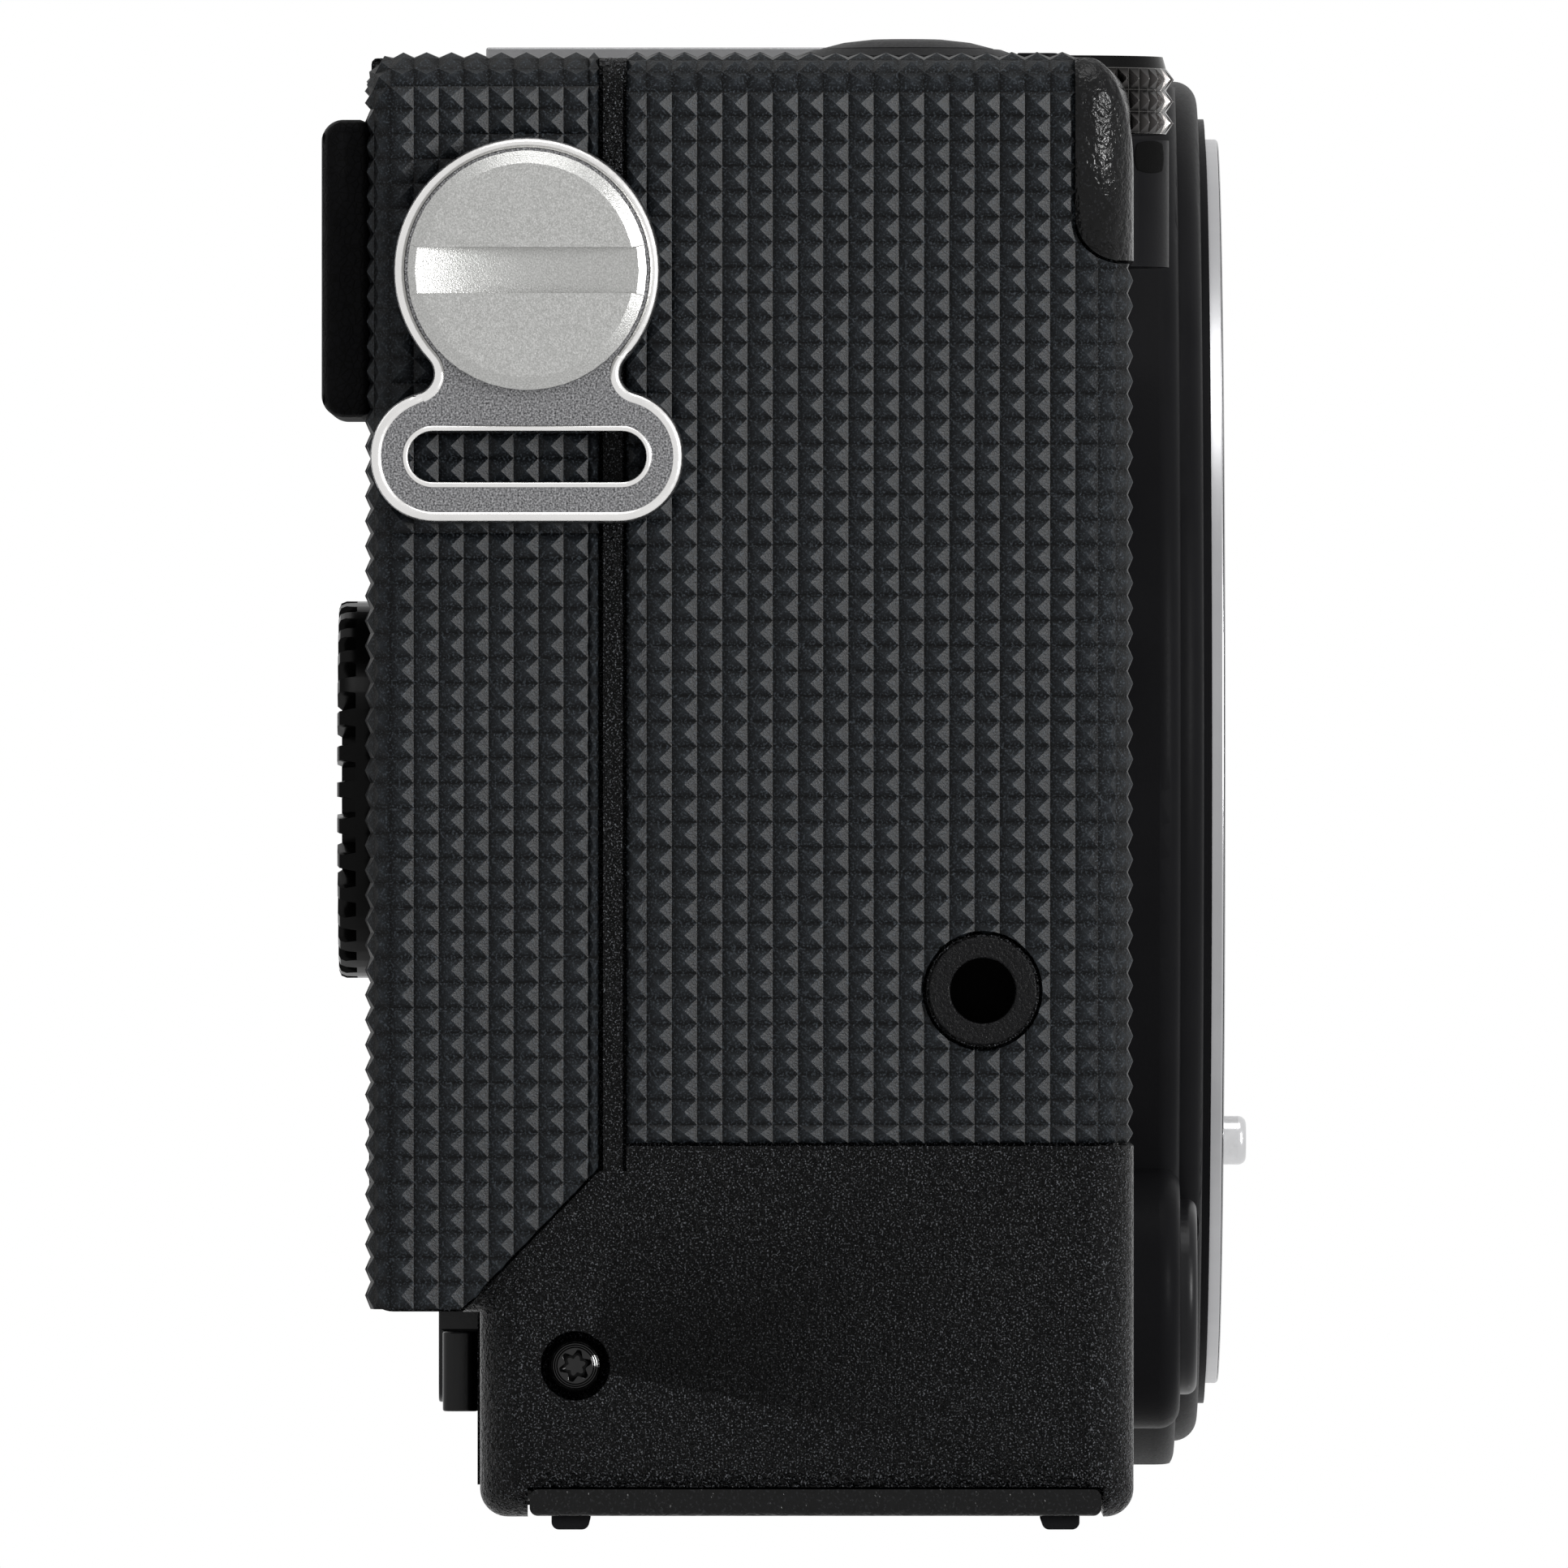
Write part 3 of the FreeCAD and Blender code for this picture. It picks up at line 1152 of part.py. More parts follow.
def make_power():
    """Battery and memory card with the tray and socket that hold them."""
    tray_block = box("tray_block", ("tray_outer", "tray_inner"), ("-tray_half_y", "tray_half_y"),
                     ("door_top + 3 * slack", "tray_top"))
    tray_room = box("tray_room", ("tray_outer + tray_wall", "tray_inner - tray_wall"),
                    ("tray_wall - tray_half_y", "tray_half_y - tray_wall"), ("0", "tray_top - tray_wall"))
    boss_room = rod("tray_boss_room", "x", ("screw_y", "screw_z"), ("grip_end", "inner_grip"),
                    "boss_radius + slack")
    tray = cut("tray", tray_block, tray_room, boss_room)
    cell = box("cell_block", ("tray_outer + tray_wall + battery_gap + boss_radius / 2",
                              "tray_inner - tray_wall - battery_gap"),
               ("tray_wall + battery_gap - tray_half_y", "tray_half_y - tray_wall - battery_gap"),
               ("door_top + 4 * slack", "tray_top - tray_wall"))
    cell_boss = rod("cell_boss_room", "x", ("screw_y", "screw_z"), ("grip_end", "inner_grip + wall"),
                    "boss_radius + 2 * slack")
    keep(cut("cell", rounded("cell_rounded", cell, "wall", along("z")), cell_boss), "battery")

    card = box("card_block", ("card_face", "card_face + card_thickness"), ("-card_half_y", "card_half_y"),
               ("card_foot", "card_top"))
    keep(rounded("card", card, "card_thickness / 3", along("x")), "memory_card")
    shell = box("card_shell", ("tray_inner", "card_face + card_thickness + tray_wall"),
                ("-tray_half_y", "tray_half_y"), ("socket_foot", "card_top + wall"))
    room = box("card_room", ("card_face - run_gap", "card_face + card_thickness + run_gap"),
               ("-card_half_y - slack", "card_half_y + slack"), ("0", "card_top + run_gap"))
    keep(fuse("tray_and_socket", tray, cut("card_holder", shell, room)), "battery_tray")


# Battery door

def make_door():
    """Battery and card door with its hinge pin, sliding latch and feet."""
    leaf = box("door_leaf", ("grip_end", "door_hinge_x"), ("door_front", "door_back"),
               ("door_face", "door_top"))
    inner_end = rounded("door_inner_end", leaf, "0.45 * (door_top - door_face)", along(
        "y", lambda p: near(p.x, "door_hinge_x")))
    leaf_round = rounded("door_leaf_round", inner_end, "door_round", at_level(
        "z", "door_face", lambda p: p.x < number("door_hinge_x - door_round")))
    pin = rod("door_pin_rod", "y", ("door_pin_x", "door_pin_z"), ("door_front - wall / 2 + slack",
              "door_back + wall / 2"), "door_pin")
    slot = box("door_latch_slot", ("latch_x - slack", "latch_x + latch_length + latch_travel + slack"),
               ("-latch_half_y - slack", "latch_half_y + slack"), ("0", f"door_top + {OVERCUT}"))
    keep(cut("door", fuse("door_solid", leaf_round, pin), slot), "battery_door")
    latch = box("latch_block", ("latch_x", "latch_x + latch_length"), ("-latch_half_y", "latch_half_y"),
                ("door_face + slack", "door_top"))
    grip_slots = [
        box(f"latch_groove_{index}",
            (f"latch_x + {index} * latch_ridge", f"latch_x + {index} * latch_ridge + latch_cut"),
            ("-latch_half_y", "latch_half_y"), ("0", "door_face + 3 * slack"))
        for index in (1, 2, 3)
    ]
    keep(cut("latch", latch, *grip_slots), "battery_door_latch")
    strips = [
        strip_foot(f"door_foot_{index}", ("grip_end + foot_inset", "grip_end + foot_inset + foot_length"), y)
        for index, y in enumerate(("foot_front", "foot_back"))
    ]
    keep(fuse("door_feet_group", *strips), "door_feet")


# Top controls

def make_top_controls():
    """Shutter button, power lever, front dial, mode dial, movie button, hot shoe and lamp window."""
    spot = ("shutter_x", "shutter_y")
    shaft_foot = "boss_foot - 2 * slack"
    dome = (
        ("0", shaft_foot),
        ("release_shaft", shaft_foot),
        ("release_shaft", "release_cap_foot"),
        ("release_cap", "release_cap_foot"),
        ("release_cap", "release_dome - release_cap_round"),
        ("release_cap * 0.72", "release_dome - release_cap_round / 3"),
        ("release_cap * 0.4", "release_dome"),
        ("0", "release_dome"),
    )
    keep(turned("release_dome_button", "z", spot, dome), "shutter_button")
    collar = (
        ("lever_bore", "top_face + run_gap"),
        ("lever_radius", "top_face + run_gap"),
        ("lever_radius", "top_face + lever_height / 3"),
        ("lever_bore", "top_face + lever_height"),
    )
    ring = turned("lever_ring", "z", spot, collar)
    tab_end = "shutter_y - lever_radius - lever_tab_reach"
    tab = box("lever_tab", ("shutter_x - lever_tab_half", "shutter_x + lever_tab_half"),
               (tab_end, "shutter_y - lever_radius + 3 * slack"),
               ("top_face + run_gap", "top_face + lever_height * 0.7"))
    keep(fuse("lever", ring, rounded("lever_tab_round", tab, "lever_tab_half / 2", along(
        "z", lambda p: near(p.y, tab_end)))), "power_lever")

    dial = (
        ("dial_pin + run_gap", "dial_foot"),
        ("dial_radius - 3 * slack", "dial_foot"),
        ("dial_radius", "dial_foot + 3 * slack"),
        ("dial_radius", "dial_top - 6 * slack"),
        ("dial_radius - 6 * slack", "dial_top"),
        ("0", "dial_top"),
        ("0", "dial_top - wall + slack"),
        ("dial_pin + run_gap", "dial_top - wall + slack"),
    )
    keep(turned("front_wheel", "z", ("dial_x", "dial_y"), dial), "front_dial")
    mode = (
        ("dial_pin + run_gap", "top_face + slack"),
        ("mode_radius", "top_face + slack"),
        ("mode_radius", "mode_top - 4 * slack"),
        ("mode_radius - 4 * slack", "mode_top"),
        ("0", "mode_top"),
        ("0", "mode_top - wall / 2 + slack"),
        ("dial_pin + run_gap", "mode_top - wall / 2 + slack"),
    )
    keep(turned("mode_wheel", "z", ("mode_x", "mode_y"), mode), "mode_dial")
    movie = rod("movie_cap", "z", ("movie_x", "movie_y"),
                ("back_seam + button_travel + slack", "top_face + button_proud"), "movie_radius")
    keep(rounded("movie", movie, "2 * slack", at_level("z", "top_face + button_proud")), "movie_button")

    lens = "lens_x"
    shoe = box("shoe_block", (f"{lens} - shoe_half_x", f"{lens} + shoe_half_x"), ("shoe_front", "back_face"),
               ("shoe_base", "shoe_top"))
    slot = box("shoe_slot_room", (f"{lens} - shoe_slot_half", f"{lens} + shoe_slot_half"),
               ("shoe_front + wall / 2", f"back_face + {OVERCUT}"), ("shoe_floor", "shoe_floor + shoe_slot"))
    gate = box("shoe_gate_room", (f"{lens} - shoe_gate_half", f"{lens} + shoe_gate_half"),
               ("shoe_front + wall / 2", f"back_face + {OVERCUT}"), ("shoe_floor", f"shoe_top + {OVERCUT}"))
    keep(cut("shoe", shoe, slot, gate), "hot_shoe")
    leaves = [
        box(f"shoe_leaf_{index}", span, ("shoe_front + wall", "back_face - 2 * wall"),
            ("shoe_floor", "shoe_floor + shoe_leaf"))
        for index, span in enumerate((
            (f"{lens} - shoe_slot_half + slack", f"{lens} - shoe_gate_half - slack"),
            (f"{lens} + shoe_gate_half + slack", f"{lens} + shoe_slot_half - slack"),
        ))
    ]
    bridge = box("shoe_leaf_bridge", (f"{lens} - shoe_slot_half + slack", f"{lens} + shoe_slot_half - slack"),
                 ("shoe_front + wall", "shoe_front + 2 * wall"), ("shoe_floor", "shoe_floor + shoe_leaf"))
    keep(fuse("shoe_leaf", *leaves, bridge), "hot_shoe_spring")
    lamp = rod("lamp_disc", "y", ("lamp_x", "lamp_z"), ("front_face", "front_face + wall"), "lamp_radius")
    keep(lamp, "lamp_window")


# Back controls

def make_back_controls():
    """Toothed wheel, four-way pad, buttons and thumb rest."""
    spot = ("wheel_x", "wheel_z")
    ring = tube("wheel_ring", "y", spot, ("wheel_foot", "wheel_face"), "wheel_radius", "wheel_bore")
    tooth_count = int(number("wheel_teeth"))
    gaps = [
        spoke(f"wheel_gap_{index}", spot, f"360 * {index} / wheel_teeth",
              "wheel_bore + wheel_rim - tooth_reach",
              "wheel_radius * pi / wheel_teeth", ("wheel_face - tooth_depth", f"wheel_face + {OVERCUT}"))
        for index in range(tooth_count)
    ]
    keep(cut("wheel", ring, *gaps), "rear_dial")

    pad = tube("pad_ring", "y", spot, ("well_floor + button_travel + slack", "pad_face"),
               "wheel_bore - hub_wall - slack", "ok_radius + slack")
    keep(rounded("pad", pad, "2 * slack", at_level("y", "pad_face")), "direction_pad")
    keep(round_button("ok", spot, "ok_radius", "pad_face"), "ok_button")
    for name, label in (("menu", "menu_button"), ("play", "playback_button")):
        keep(round_button(name, (f"{name}_x", "key_z"), "button_radius", "bulge_face + button_proud"), label)

    rest = box("rest_block", ("rest_left", "rest_right"), ("bulge_face", "rest_face"),
               ("rest_foot", "rest_top"))
    keep(rounded("rest", rest, "rest_round", at_level("y", "rest_face")), "thumb_rest")


def spoke(name, centre, angle, start, width, span):
    """Radial bar at an angle about an axis along Y, running out past the wheel's rim."""
    turn = FreeCAD.Rotation(FreeCAD.Vector(0, 1, 0), -number(angle))
    bar = doc.addObject("Part::Box", name)
    low, high = span
    place(bar, turn.multiply(AXIS_TURN["y"]), y=low,
          x=f"{centre[0]} + ({start}) * cos({angle}) - ({width}) / 2 * sin({angle})",
          z=f"{centre[1]} + ({start}) * sin({angle}) + ({width}) / 2 * cos({angle})")
    bind(bar, "Length", f"tooth_reach + {OVERCUT}")
    bind(bar, "Width", width)
    bind(bar, "Height", f"({high}) - ({low})")
    return bar


def round_button(name, spot, radius, face):
    """Push button of the back, standing clear of its well's floor by its travel."""
    body = rod(name + "_body", "y", spot, ("well_floor + button_travel + slack", face), radius)
    return rounded(name, body, "2 * slack", at_level("y", face))


# Monitor

def make_monitor():
    """Hinged arm, monitor case with its finger catch, and the monitor's glass."""
    hinge = ("hinge_y", "hinge_z")
    low_axis = ("low_hinge_y", "low_hinge_z")
    leaf = box("arm_leaf", ("arm_left", "arm_right"), ("arm_face", "arm_face + arm_depth"),
               ("low_hinge_z", "shelf_foot + arm_depth"))
    shelf = box("arm_shelf", ("arm_left", "arm_right"), ("arm_face", "hinge_y"),
                ("shelf_foot", "shelf_foot + arm_depth"))
    eye = rod("arm_eye", "x", hinge, ("arm_left", "arm_right"), "hinge_radius")
    top_pin = rod("arm_top_pin", "x", hinge, ("arm_left - ear_width", "arm_right + ear_width"), "hinge_pin")
    ears = [
        rod(f"arm_ear_{index}", "x", low_axis, span, "monitor_round")
        for index, span in enumerate((("arm_left", "arm_left + ear_width"),
                                      ("arm_right - ear_width", "arm_right")))
    ]
    low_pin = [
        rod(f"arm_low_pin_{index}", "x", low_axis, span, "hinge_pin")
        for index, span in enumerate((("arm_left - ear_width", "arm_left + ear_width"),
                                      ("arm_right - ear_width", "arm_right + ear_width")))
    ]
    roots = [
        box(f"arm_ear_root_{index}", span, ("arm_face", "low_hinge_y"),
            ("low_hinge_z", "low_hinge_z + monitor_round"))
        for index, span in enumerate((("arm_left", "arm_left + ear_width"),
                                      ("arm_right - ear_width", "arm_right")))
    ]
    keep(fuse("arm", leaf, shelf, eye, top_pin, *ears, *roots, *low_pin), "monitor_arm")

    block = box("monitor_block", ("monitor_left", "monitor_right"), ("monitor_front", "monitor_face"),
                ("monitor_foot", "monitor_top"))
    inner_round = rounded("monitor_inner_round", block, "monitor_round", along(
        "x", lambda p: near(p.y, "monitor_front") and near(p.z, "monitor_foot")))
    corner = rounded("monitor_corners", inner_round, "monitor_round", along("y"))
    tab = box("monitor_tab", ("monitor_left - tab_width", "monitor_left + 5 * slack"),
              ("back_face + 2 * slack", "monitor_face - 2 * slack"), ("tab_foot", "tab_top"))
    tab_round = rounded("monitor_tab_round", tab, "5 * slack", along(
        "z", lambda p: near(p.x, "monitor_left - tab_width")))
    notches = [
        box(f"monitor_notch_{index}", span, ("tub_floor", f"monitor_face + {OVERCUT}"),
            ("0", "low_hinge_z + monitor_round + slack"))
        for index, span in enumerate((
            ("arm_left - run_gap", "arm_left + ear_width + run_gap"),
            ("arm_right - ear_width - run_gap", "arm_right + run_gap"),
        ))
    ]
    bores = [
        rod(f"monitor_bore_{index}", "x", low_axis, span, "hinge_pin + run_gap")
        for index, span in enumerate((("arm_left - ear_width - slack", "arm_left"),
                                      ("arm_right", "arm_right + ear_width + slack")))
    ]
    glass_y = ("monitor_face - screen_depth", "monitor_face - slack")
    screen_x = ("monitor_left + screen_border", "monitor_right - screen_border")
    screen_z = ("monitor_foot + screen_border", "monitor_top - screen_border")
    glass_room = box("screen_room", screen_x, ("monitor_face - screen_depth", f"monitor_face + {OVERCUT}"),
                     screen_z)
    keep(cut("monitor", fuse("monitor_solid", corner, tab_round), glass_room, *notches, *bores),
         "monitor_frame")
    keep(box("screen", screen_x, glass_y, screen_z), "monitor_window")


# Side fittings

def make_side_fittings():
    """Socket ring, shell screws, strap lugs on both ends and the port door."""
    ring = tube("socket_ring", "x", ("socket_y", "socket_z"),
                ("-half_width - socket_proud", "end_wall - half_width"), "socket_radius", "socket_bore")
    keep(ring, "side_socket_bush")
    head = rod("case_screw_head", "x", ("screw_y", "screw_z"),
               ("screw_sink - half_width", "screw_sink + screw_head - half_width"), "screw_head")
    shank = rod("case_screw_shank", "x", ("screw_y", "screw_z"), ("screw_sink - half_width", "inner_grip"),
                "screw_shank")
    keep(fuse("case_screw", head, shank), "case_screws")

    studs = []
    for side, label, lug_y in ((-1, "right", "lug_y"), (1, "left", "lug_left_y")):
        spot = (lug_y, "lug_z")
        plate_x = both_sides(side, "lug_inner", "lug_outer")
        stud_x = both_sides(side, "half_width - end_wall", "lug_outer + run_gap")
        shank_x = both_sides(side, "half_width - end_wall + 5 * slack", "coin_inner + coin_depth / 2")
        head_x = both_sides(side, "coin_inner", "coin_outer")
        studs.append(tube(f"stud_{label}", "x", spot, stud_x, "stud_radius", "coin_shank + run_gap"))
        make_lug_plate(label, lug_y, plate_x)
        make_coin_screw(side, label, spot, head_x, shank_x)
    keep(fuse("stud_group", *studs), "strap_studs")

    window_y = ("port_y - port_half_y + slack", "port_y + port_half_y - slack")
    leaf = box("port_leaf", ("port_back", "half_width"), window_y,
               ("port_foot + slack", "port_top - slack"))
    leaf_round = rounded("port_leaf_round", leaf, "0.49 * port_cover", along(
        "z", lambda p: p.y > number("port_y")))
    pin = rod("port_pin_rod", "z", ("port_hinge_x", "port_hinge_y"),
              ("port_foot - wall / 2", "port_top + wall / 2"), "port_pin")
    keep(fuse("port_door_solid", leaf_round, pin), "port_door")
    shells = []
    for name in ("low", "high"):
        low = f"port_foot + jack_{name}_foot"
        high = f"{low} + jack_{name}_height"
        half = f"jack_{name}_half"
        case = box(f"jack_{name}_case", ("port_bay", "port_back - wall"),
                   (f"port_y - {half}", f"port_y + {half}"),
                   (low, high))
        hollow = box(f"jack_{name}_hollow", ("port_bay + port_shell", "port_back"),
                     (f"port_y - {half} + port_shell", f"port_y + {half} - port_shell"),
                     (f"{low} + port_shell", f"{high} - port_shell"))
        tongue = box(f"jack_{name}_tongue", ("port_bay + port_shell / 2", "port_back - wall - port_shell"),
                     (f"port_y - {half} + 3 * port_shell", f"port_y + {half} - 3 * port_shell"),
                     (f"{low} + jack_{name}_height / 2 - port_tongue / 2",
                      f"{low} + jack_{name}_height / 2 + port_tongue / 2"))
        shells.append(fuse(f"jack_{name}_shell", cut(f"jack_{name}_sleeve", case, hollow), tongue))
    keep(fuse("port_group", *shells), "port_connectors")


def make_lug_plate(label, lug_y, plate_x):
    """Keyhole plate: a ring round the stud, a neck with hollow corners and a slotted bar for the strap."""
    middle_z = "lug_z - lug_drop"
    ring = rod(f"lug_{label}_ring", "x", (lug_y, "lug_z"), plate_x, "lug_ring")
    bar = box(f"lug_{label}_bar", plate_x, (f"{lug_y} - lug_half_y", f"{lug_y} + lug_half_y"),
              (f"{middle_z} - lug_half_z", f"{middle_z} + lug_half_z"))
    bar_round = rounded(f"lug_{label}_bar_round", bar, "lug_half_z * 0.98", along("x"))
    blank = fuse(f"lug_{label}_blank", ring, bar_round)
    level = number(f"{middle_z} + lug_half_z")
    necked = rounded(f"lug_{label}_neck", blank, "lug_neck", along(
        "x", lambda p: abs(p.z - level) < 0.01 and abs(p.y - number(lug_y)) < number("lug_ring")))
    rimmed = rounded(f"lug_{label}_rim", necked, "3 * slack", lambda edge: any(
        at_level("x", end)(edge) for end in plate_x))
    slot = box(f"lug_{label}_slot", (f"{plate_x[0]} - {OVERCUT}", f"{plate_x[1]} + {OVERCUT}"),
               (f"{lug_y} - lug_slot_y", f"{lug_y} + lug_slot_y"),
               (f"{middle_z} - lug_slot_z", f"{middle_z} + lug_slot_z"))
    slot_round = rounded(f"lug_{label}_slot_round", slot, "lug_slot_z * 0.98", along("x"))
    hole = rod(f"lug_{label}_hole", "x", (lug_y, "lug_z"),
               (f"{plate_x[0]} - {OVERCUT}", f"{plate_x[1]} + {OVERCUT}"), "stud_radius + run_gap")
    keep(cut(f"lug_{label}", rimmed, slot_round, hole), f"strap_plate_{label}")


def make_coin_screw(side, label, spot, head_x, shank_x):
    """Slotted disc that locks the lug, with its shank in the stud."""
    head = rod(f"coin_{label}_head", "x", spot, head_x, "coin_radius")
    outer_end = head_x[1] if side > 0 else head_x[0]
    bevelled = doc.addObject("Part::Chamfer", f"coin_{label}_bevel")
    doc.recompute([head])
    bevel = number("coin_bevel")
    test = at_level("x", outer_end)
    bevelled.Base = head
    bevelled.Edges = [(index, bevel, bevel) for index, edge in enumerate(head.Shape.Edges, 1) if test(edge)]
    shank = rod(f"coin_{label}_shank", "x", spot, shank_x, "coin_shank")
    floor = (f"{outer_end} - coin_slot_depth", f"{outer_end} + {OVERCUT}")
    if side < 0:
        floor = (f"{outer_end} - {OVERCUT}", f"{outer_end} + coin_slot_depth")
    slot = box(f"coin_{label}_slot", floor, (f"{spot[0]} - coin_radius - 1", f"{spot[0]} + coin_radius + 1"),
               (f"{spot[1]} - coin_slot / 2", f"{spot[1]} + coin_slot / 2"))
    keep(cut(f"coin_{label}", fuse(f"coin_{label}_solid", bevelled, shank), slot), f"coin_screw_{label}")


# Build

outer_block, front_skin_piece = make_grip_end()
left_skin_piece = make_left_end()
make_front_cover(outer_block, front_skin_piece, left_skin_piece)
make_rear_cover(outer_block)
make_top_cover(outer_block)
make_bottom_cover()
make_mount()
make_release()
make_chassis()
make_shutter()
make_power()
make_door()
make_top_controls()
make_back_controls()
make_monitor()
make_side_fittings()
doc.recompute()

# Check every object, then write each sub-part
faults = [item.Label for item in doc.Objects if {"Invalid", "Error"} & set(item.State)]
for label, item in pieces.items():
    shape = item.Shape
    if shape.isNull() or not shape.isValid() or not shape.Solids:
        faults.append(label)
if faults:
    raise RuntimeError("These objects failed: " + ", ".join(faults))

os.makedirs("parts", exist_ok=True)
for label, item in pieces.items():
    item.Shape.exportStep(f"parts/{label}.step")
print(len(pieces), "sub-parts written")
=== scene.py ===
"""Compact mirrorless camera: its finishes, its fine pieces and the studio that it stands in.

Lengths are in metres, but in millimetres in the finishes. Up is +Z, the lens
side faces -Y and the grip end is at -X.
"""

import math

import bmesh
import bpy
from mathutils import Matrix, Vector


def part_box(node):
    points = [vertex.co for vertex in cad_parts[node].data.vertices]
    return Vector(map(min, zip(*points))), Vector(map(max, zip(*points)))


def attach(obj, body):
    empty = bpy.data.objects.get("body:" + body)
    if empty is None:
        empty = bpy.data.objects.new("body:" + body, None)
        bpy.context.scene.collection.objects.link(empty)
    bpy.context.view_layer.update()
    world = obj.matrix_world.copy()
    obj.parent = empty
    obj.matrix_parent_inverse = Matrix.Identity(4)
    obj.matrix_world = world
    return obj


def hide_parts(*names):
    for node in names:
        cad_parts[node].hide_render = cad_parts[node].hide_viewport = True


bl_info = {
    "name": "Mirrorless camera dressing",
    "version": (1, 0, 0),
    "blender": (4, 5, 0),
    "location": "View3D > Sidebar > Camera",
    "description": "Dresses a packed mirrorless camera and sets its studio",
    "category": "Object",
}

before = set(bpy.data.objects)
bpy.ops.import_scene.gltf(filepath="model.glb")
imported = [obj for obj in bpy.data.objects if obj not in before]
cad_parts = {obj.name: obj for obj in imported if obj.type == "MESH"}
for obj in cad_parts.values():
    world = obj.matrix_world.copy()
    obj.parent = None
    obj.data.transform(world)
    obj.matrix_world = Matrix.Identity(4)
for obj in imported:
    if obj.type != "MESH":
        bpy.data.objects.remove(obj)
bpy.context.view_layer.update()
NODES = {node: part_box(node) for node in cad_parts}

MM = 0.001
X, Y, Z = range(3)
QUARTER = math.pi / 2
FULL = math.pi * 2
SAME = 1e-6  # Corners nearer than this are one
FINE = 1e-7  # The same for cuts and for the dial's numbers
FAR = 1.0  # Beyond every edge

# Places in the solids
LENS = (6.0 * MM, 35.4 * MM)  # X and Z of the lens axis
SEAM = 58.4 * MM  # Height of the seam under the brow
SHOULDER = -13.15 * MM  # Y of the brow's rear edge
BROW = 2.1 * MM  # Radius of the brow's lower corner
GRIP_SIDE = -39.5 * MM  # The brow's part of the top cover lies beyond this X
COVER_TOP = 67.75 * MM  # Top of the covers, just under the pyramids' foot
BACK = 19.26 * MM  # Y of the covers' back, likewise
POST = 5.0 * MM  # Radius of the post under the front dial
TOP_WRAP = 4.0 * MM  # How far the front skin goes over the top
BODY_MIDDLE = Vector((0.0, 0.0, 30.0 * MM))
SOCKET = (-8.89 * MM, 24.8 * MM)  # Y and Z, as for the studs
SOCKET_HOLE = 2.75 * MM  # Radius of the front skin's hole
STUD_RIGHT = (12.05 * MM, 57.9 * MM)
STUD_LEFT = (6.5 * MM, 57.9 * MM)
STUD_HOLE = 3.05 * MM  # Radius of the holes round the studs
SLANT = ((8.75 * MM, 16.5 * MM), (15.05 * MM, 10.0 * MM))  # Ends of the rear skin's foot
FRONT_GRID = (0.00193, 0.06272)  # Y and Z of a corner between four pyramids
REAR_GRID = (0.009246, 0.02632)
REAR_SHARE = 0.99  # Pitch of the rear skin as a share of the front's


# Shader maths

class Wire:
    """A socket that adds Math nodes when it is used in an expression."""

    def __init__(self, finish, socket):
        self.finish = finish
        self.socket = socket

    def math(self, operation, first, second):
        return self.finish.node("ShaderNodeMath", {"operation": operation}, {0: first, 1: second})

    def __mul__(self, other):
        return self.math("MULTIPLY", self, other)

    def __sub__(self, other):
        return self.math("SUBTRACT", self, other)

    def __rsub__(self, other):
        return self.math("SUBTRACT", other, self)

    __rmul__ = __mul__


def shade(tone):
    """Colour with full alpha of a grey, or of red, green and blue."""
    return (*tone, 1.0) if isinstance(tone, tuple) else (tone, tone, tone, 1.0)


def dimmed(tone, share):
    """Colour that keeps a share of its light."""
    return tuple(part * share for part in tone)


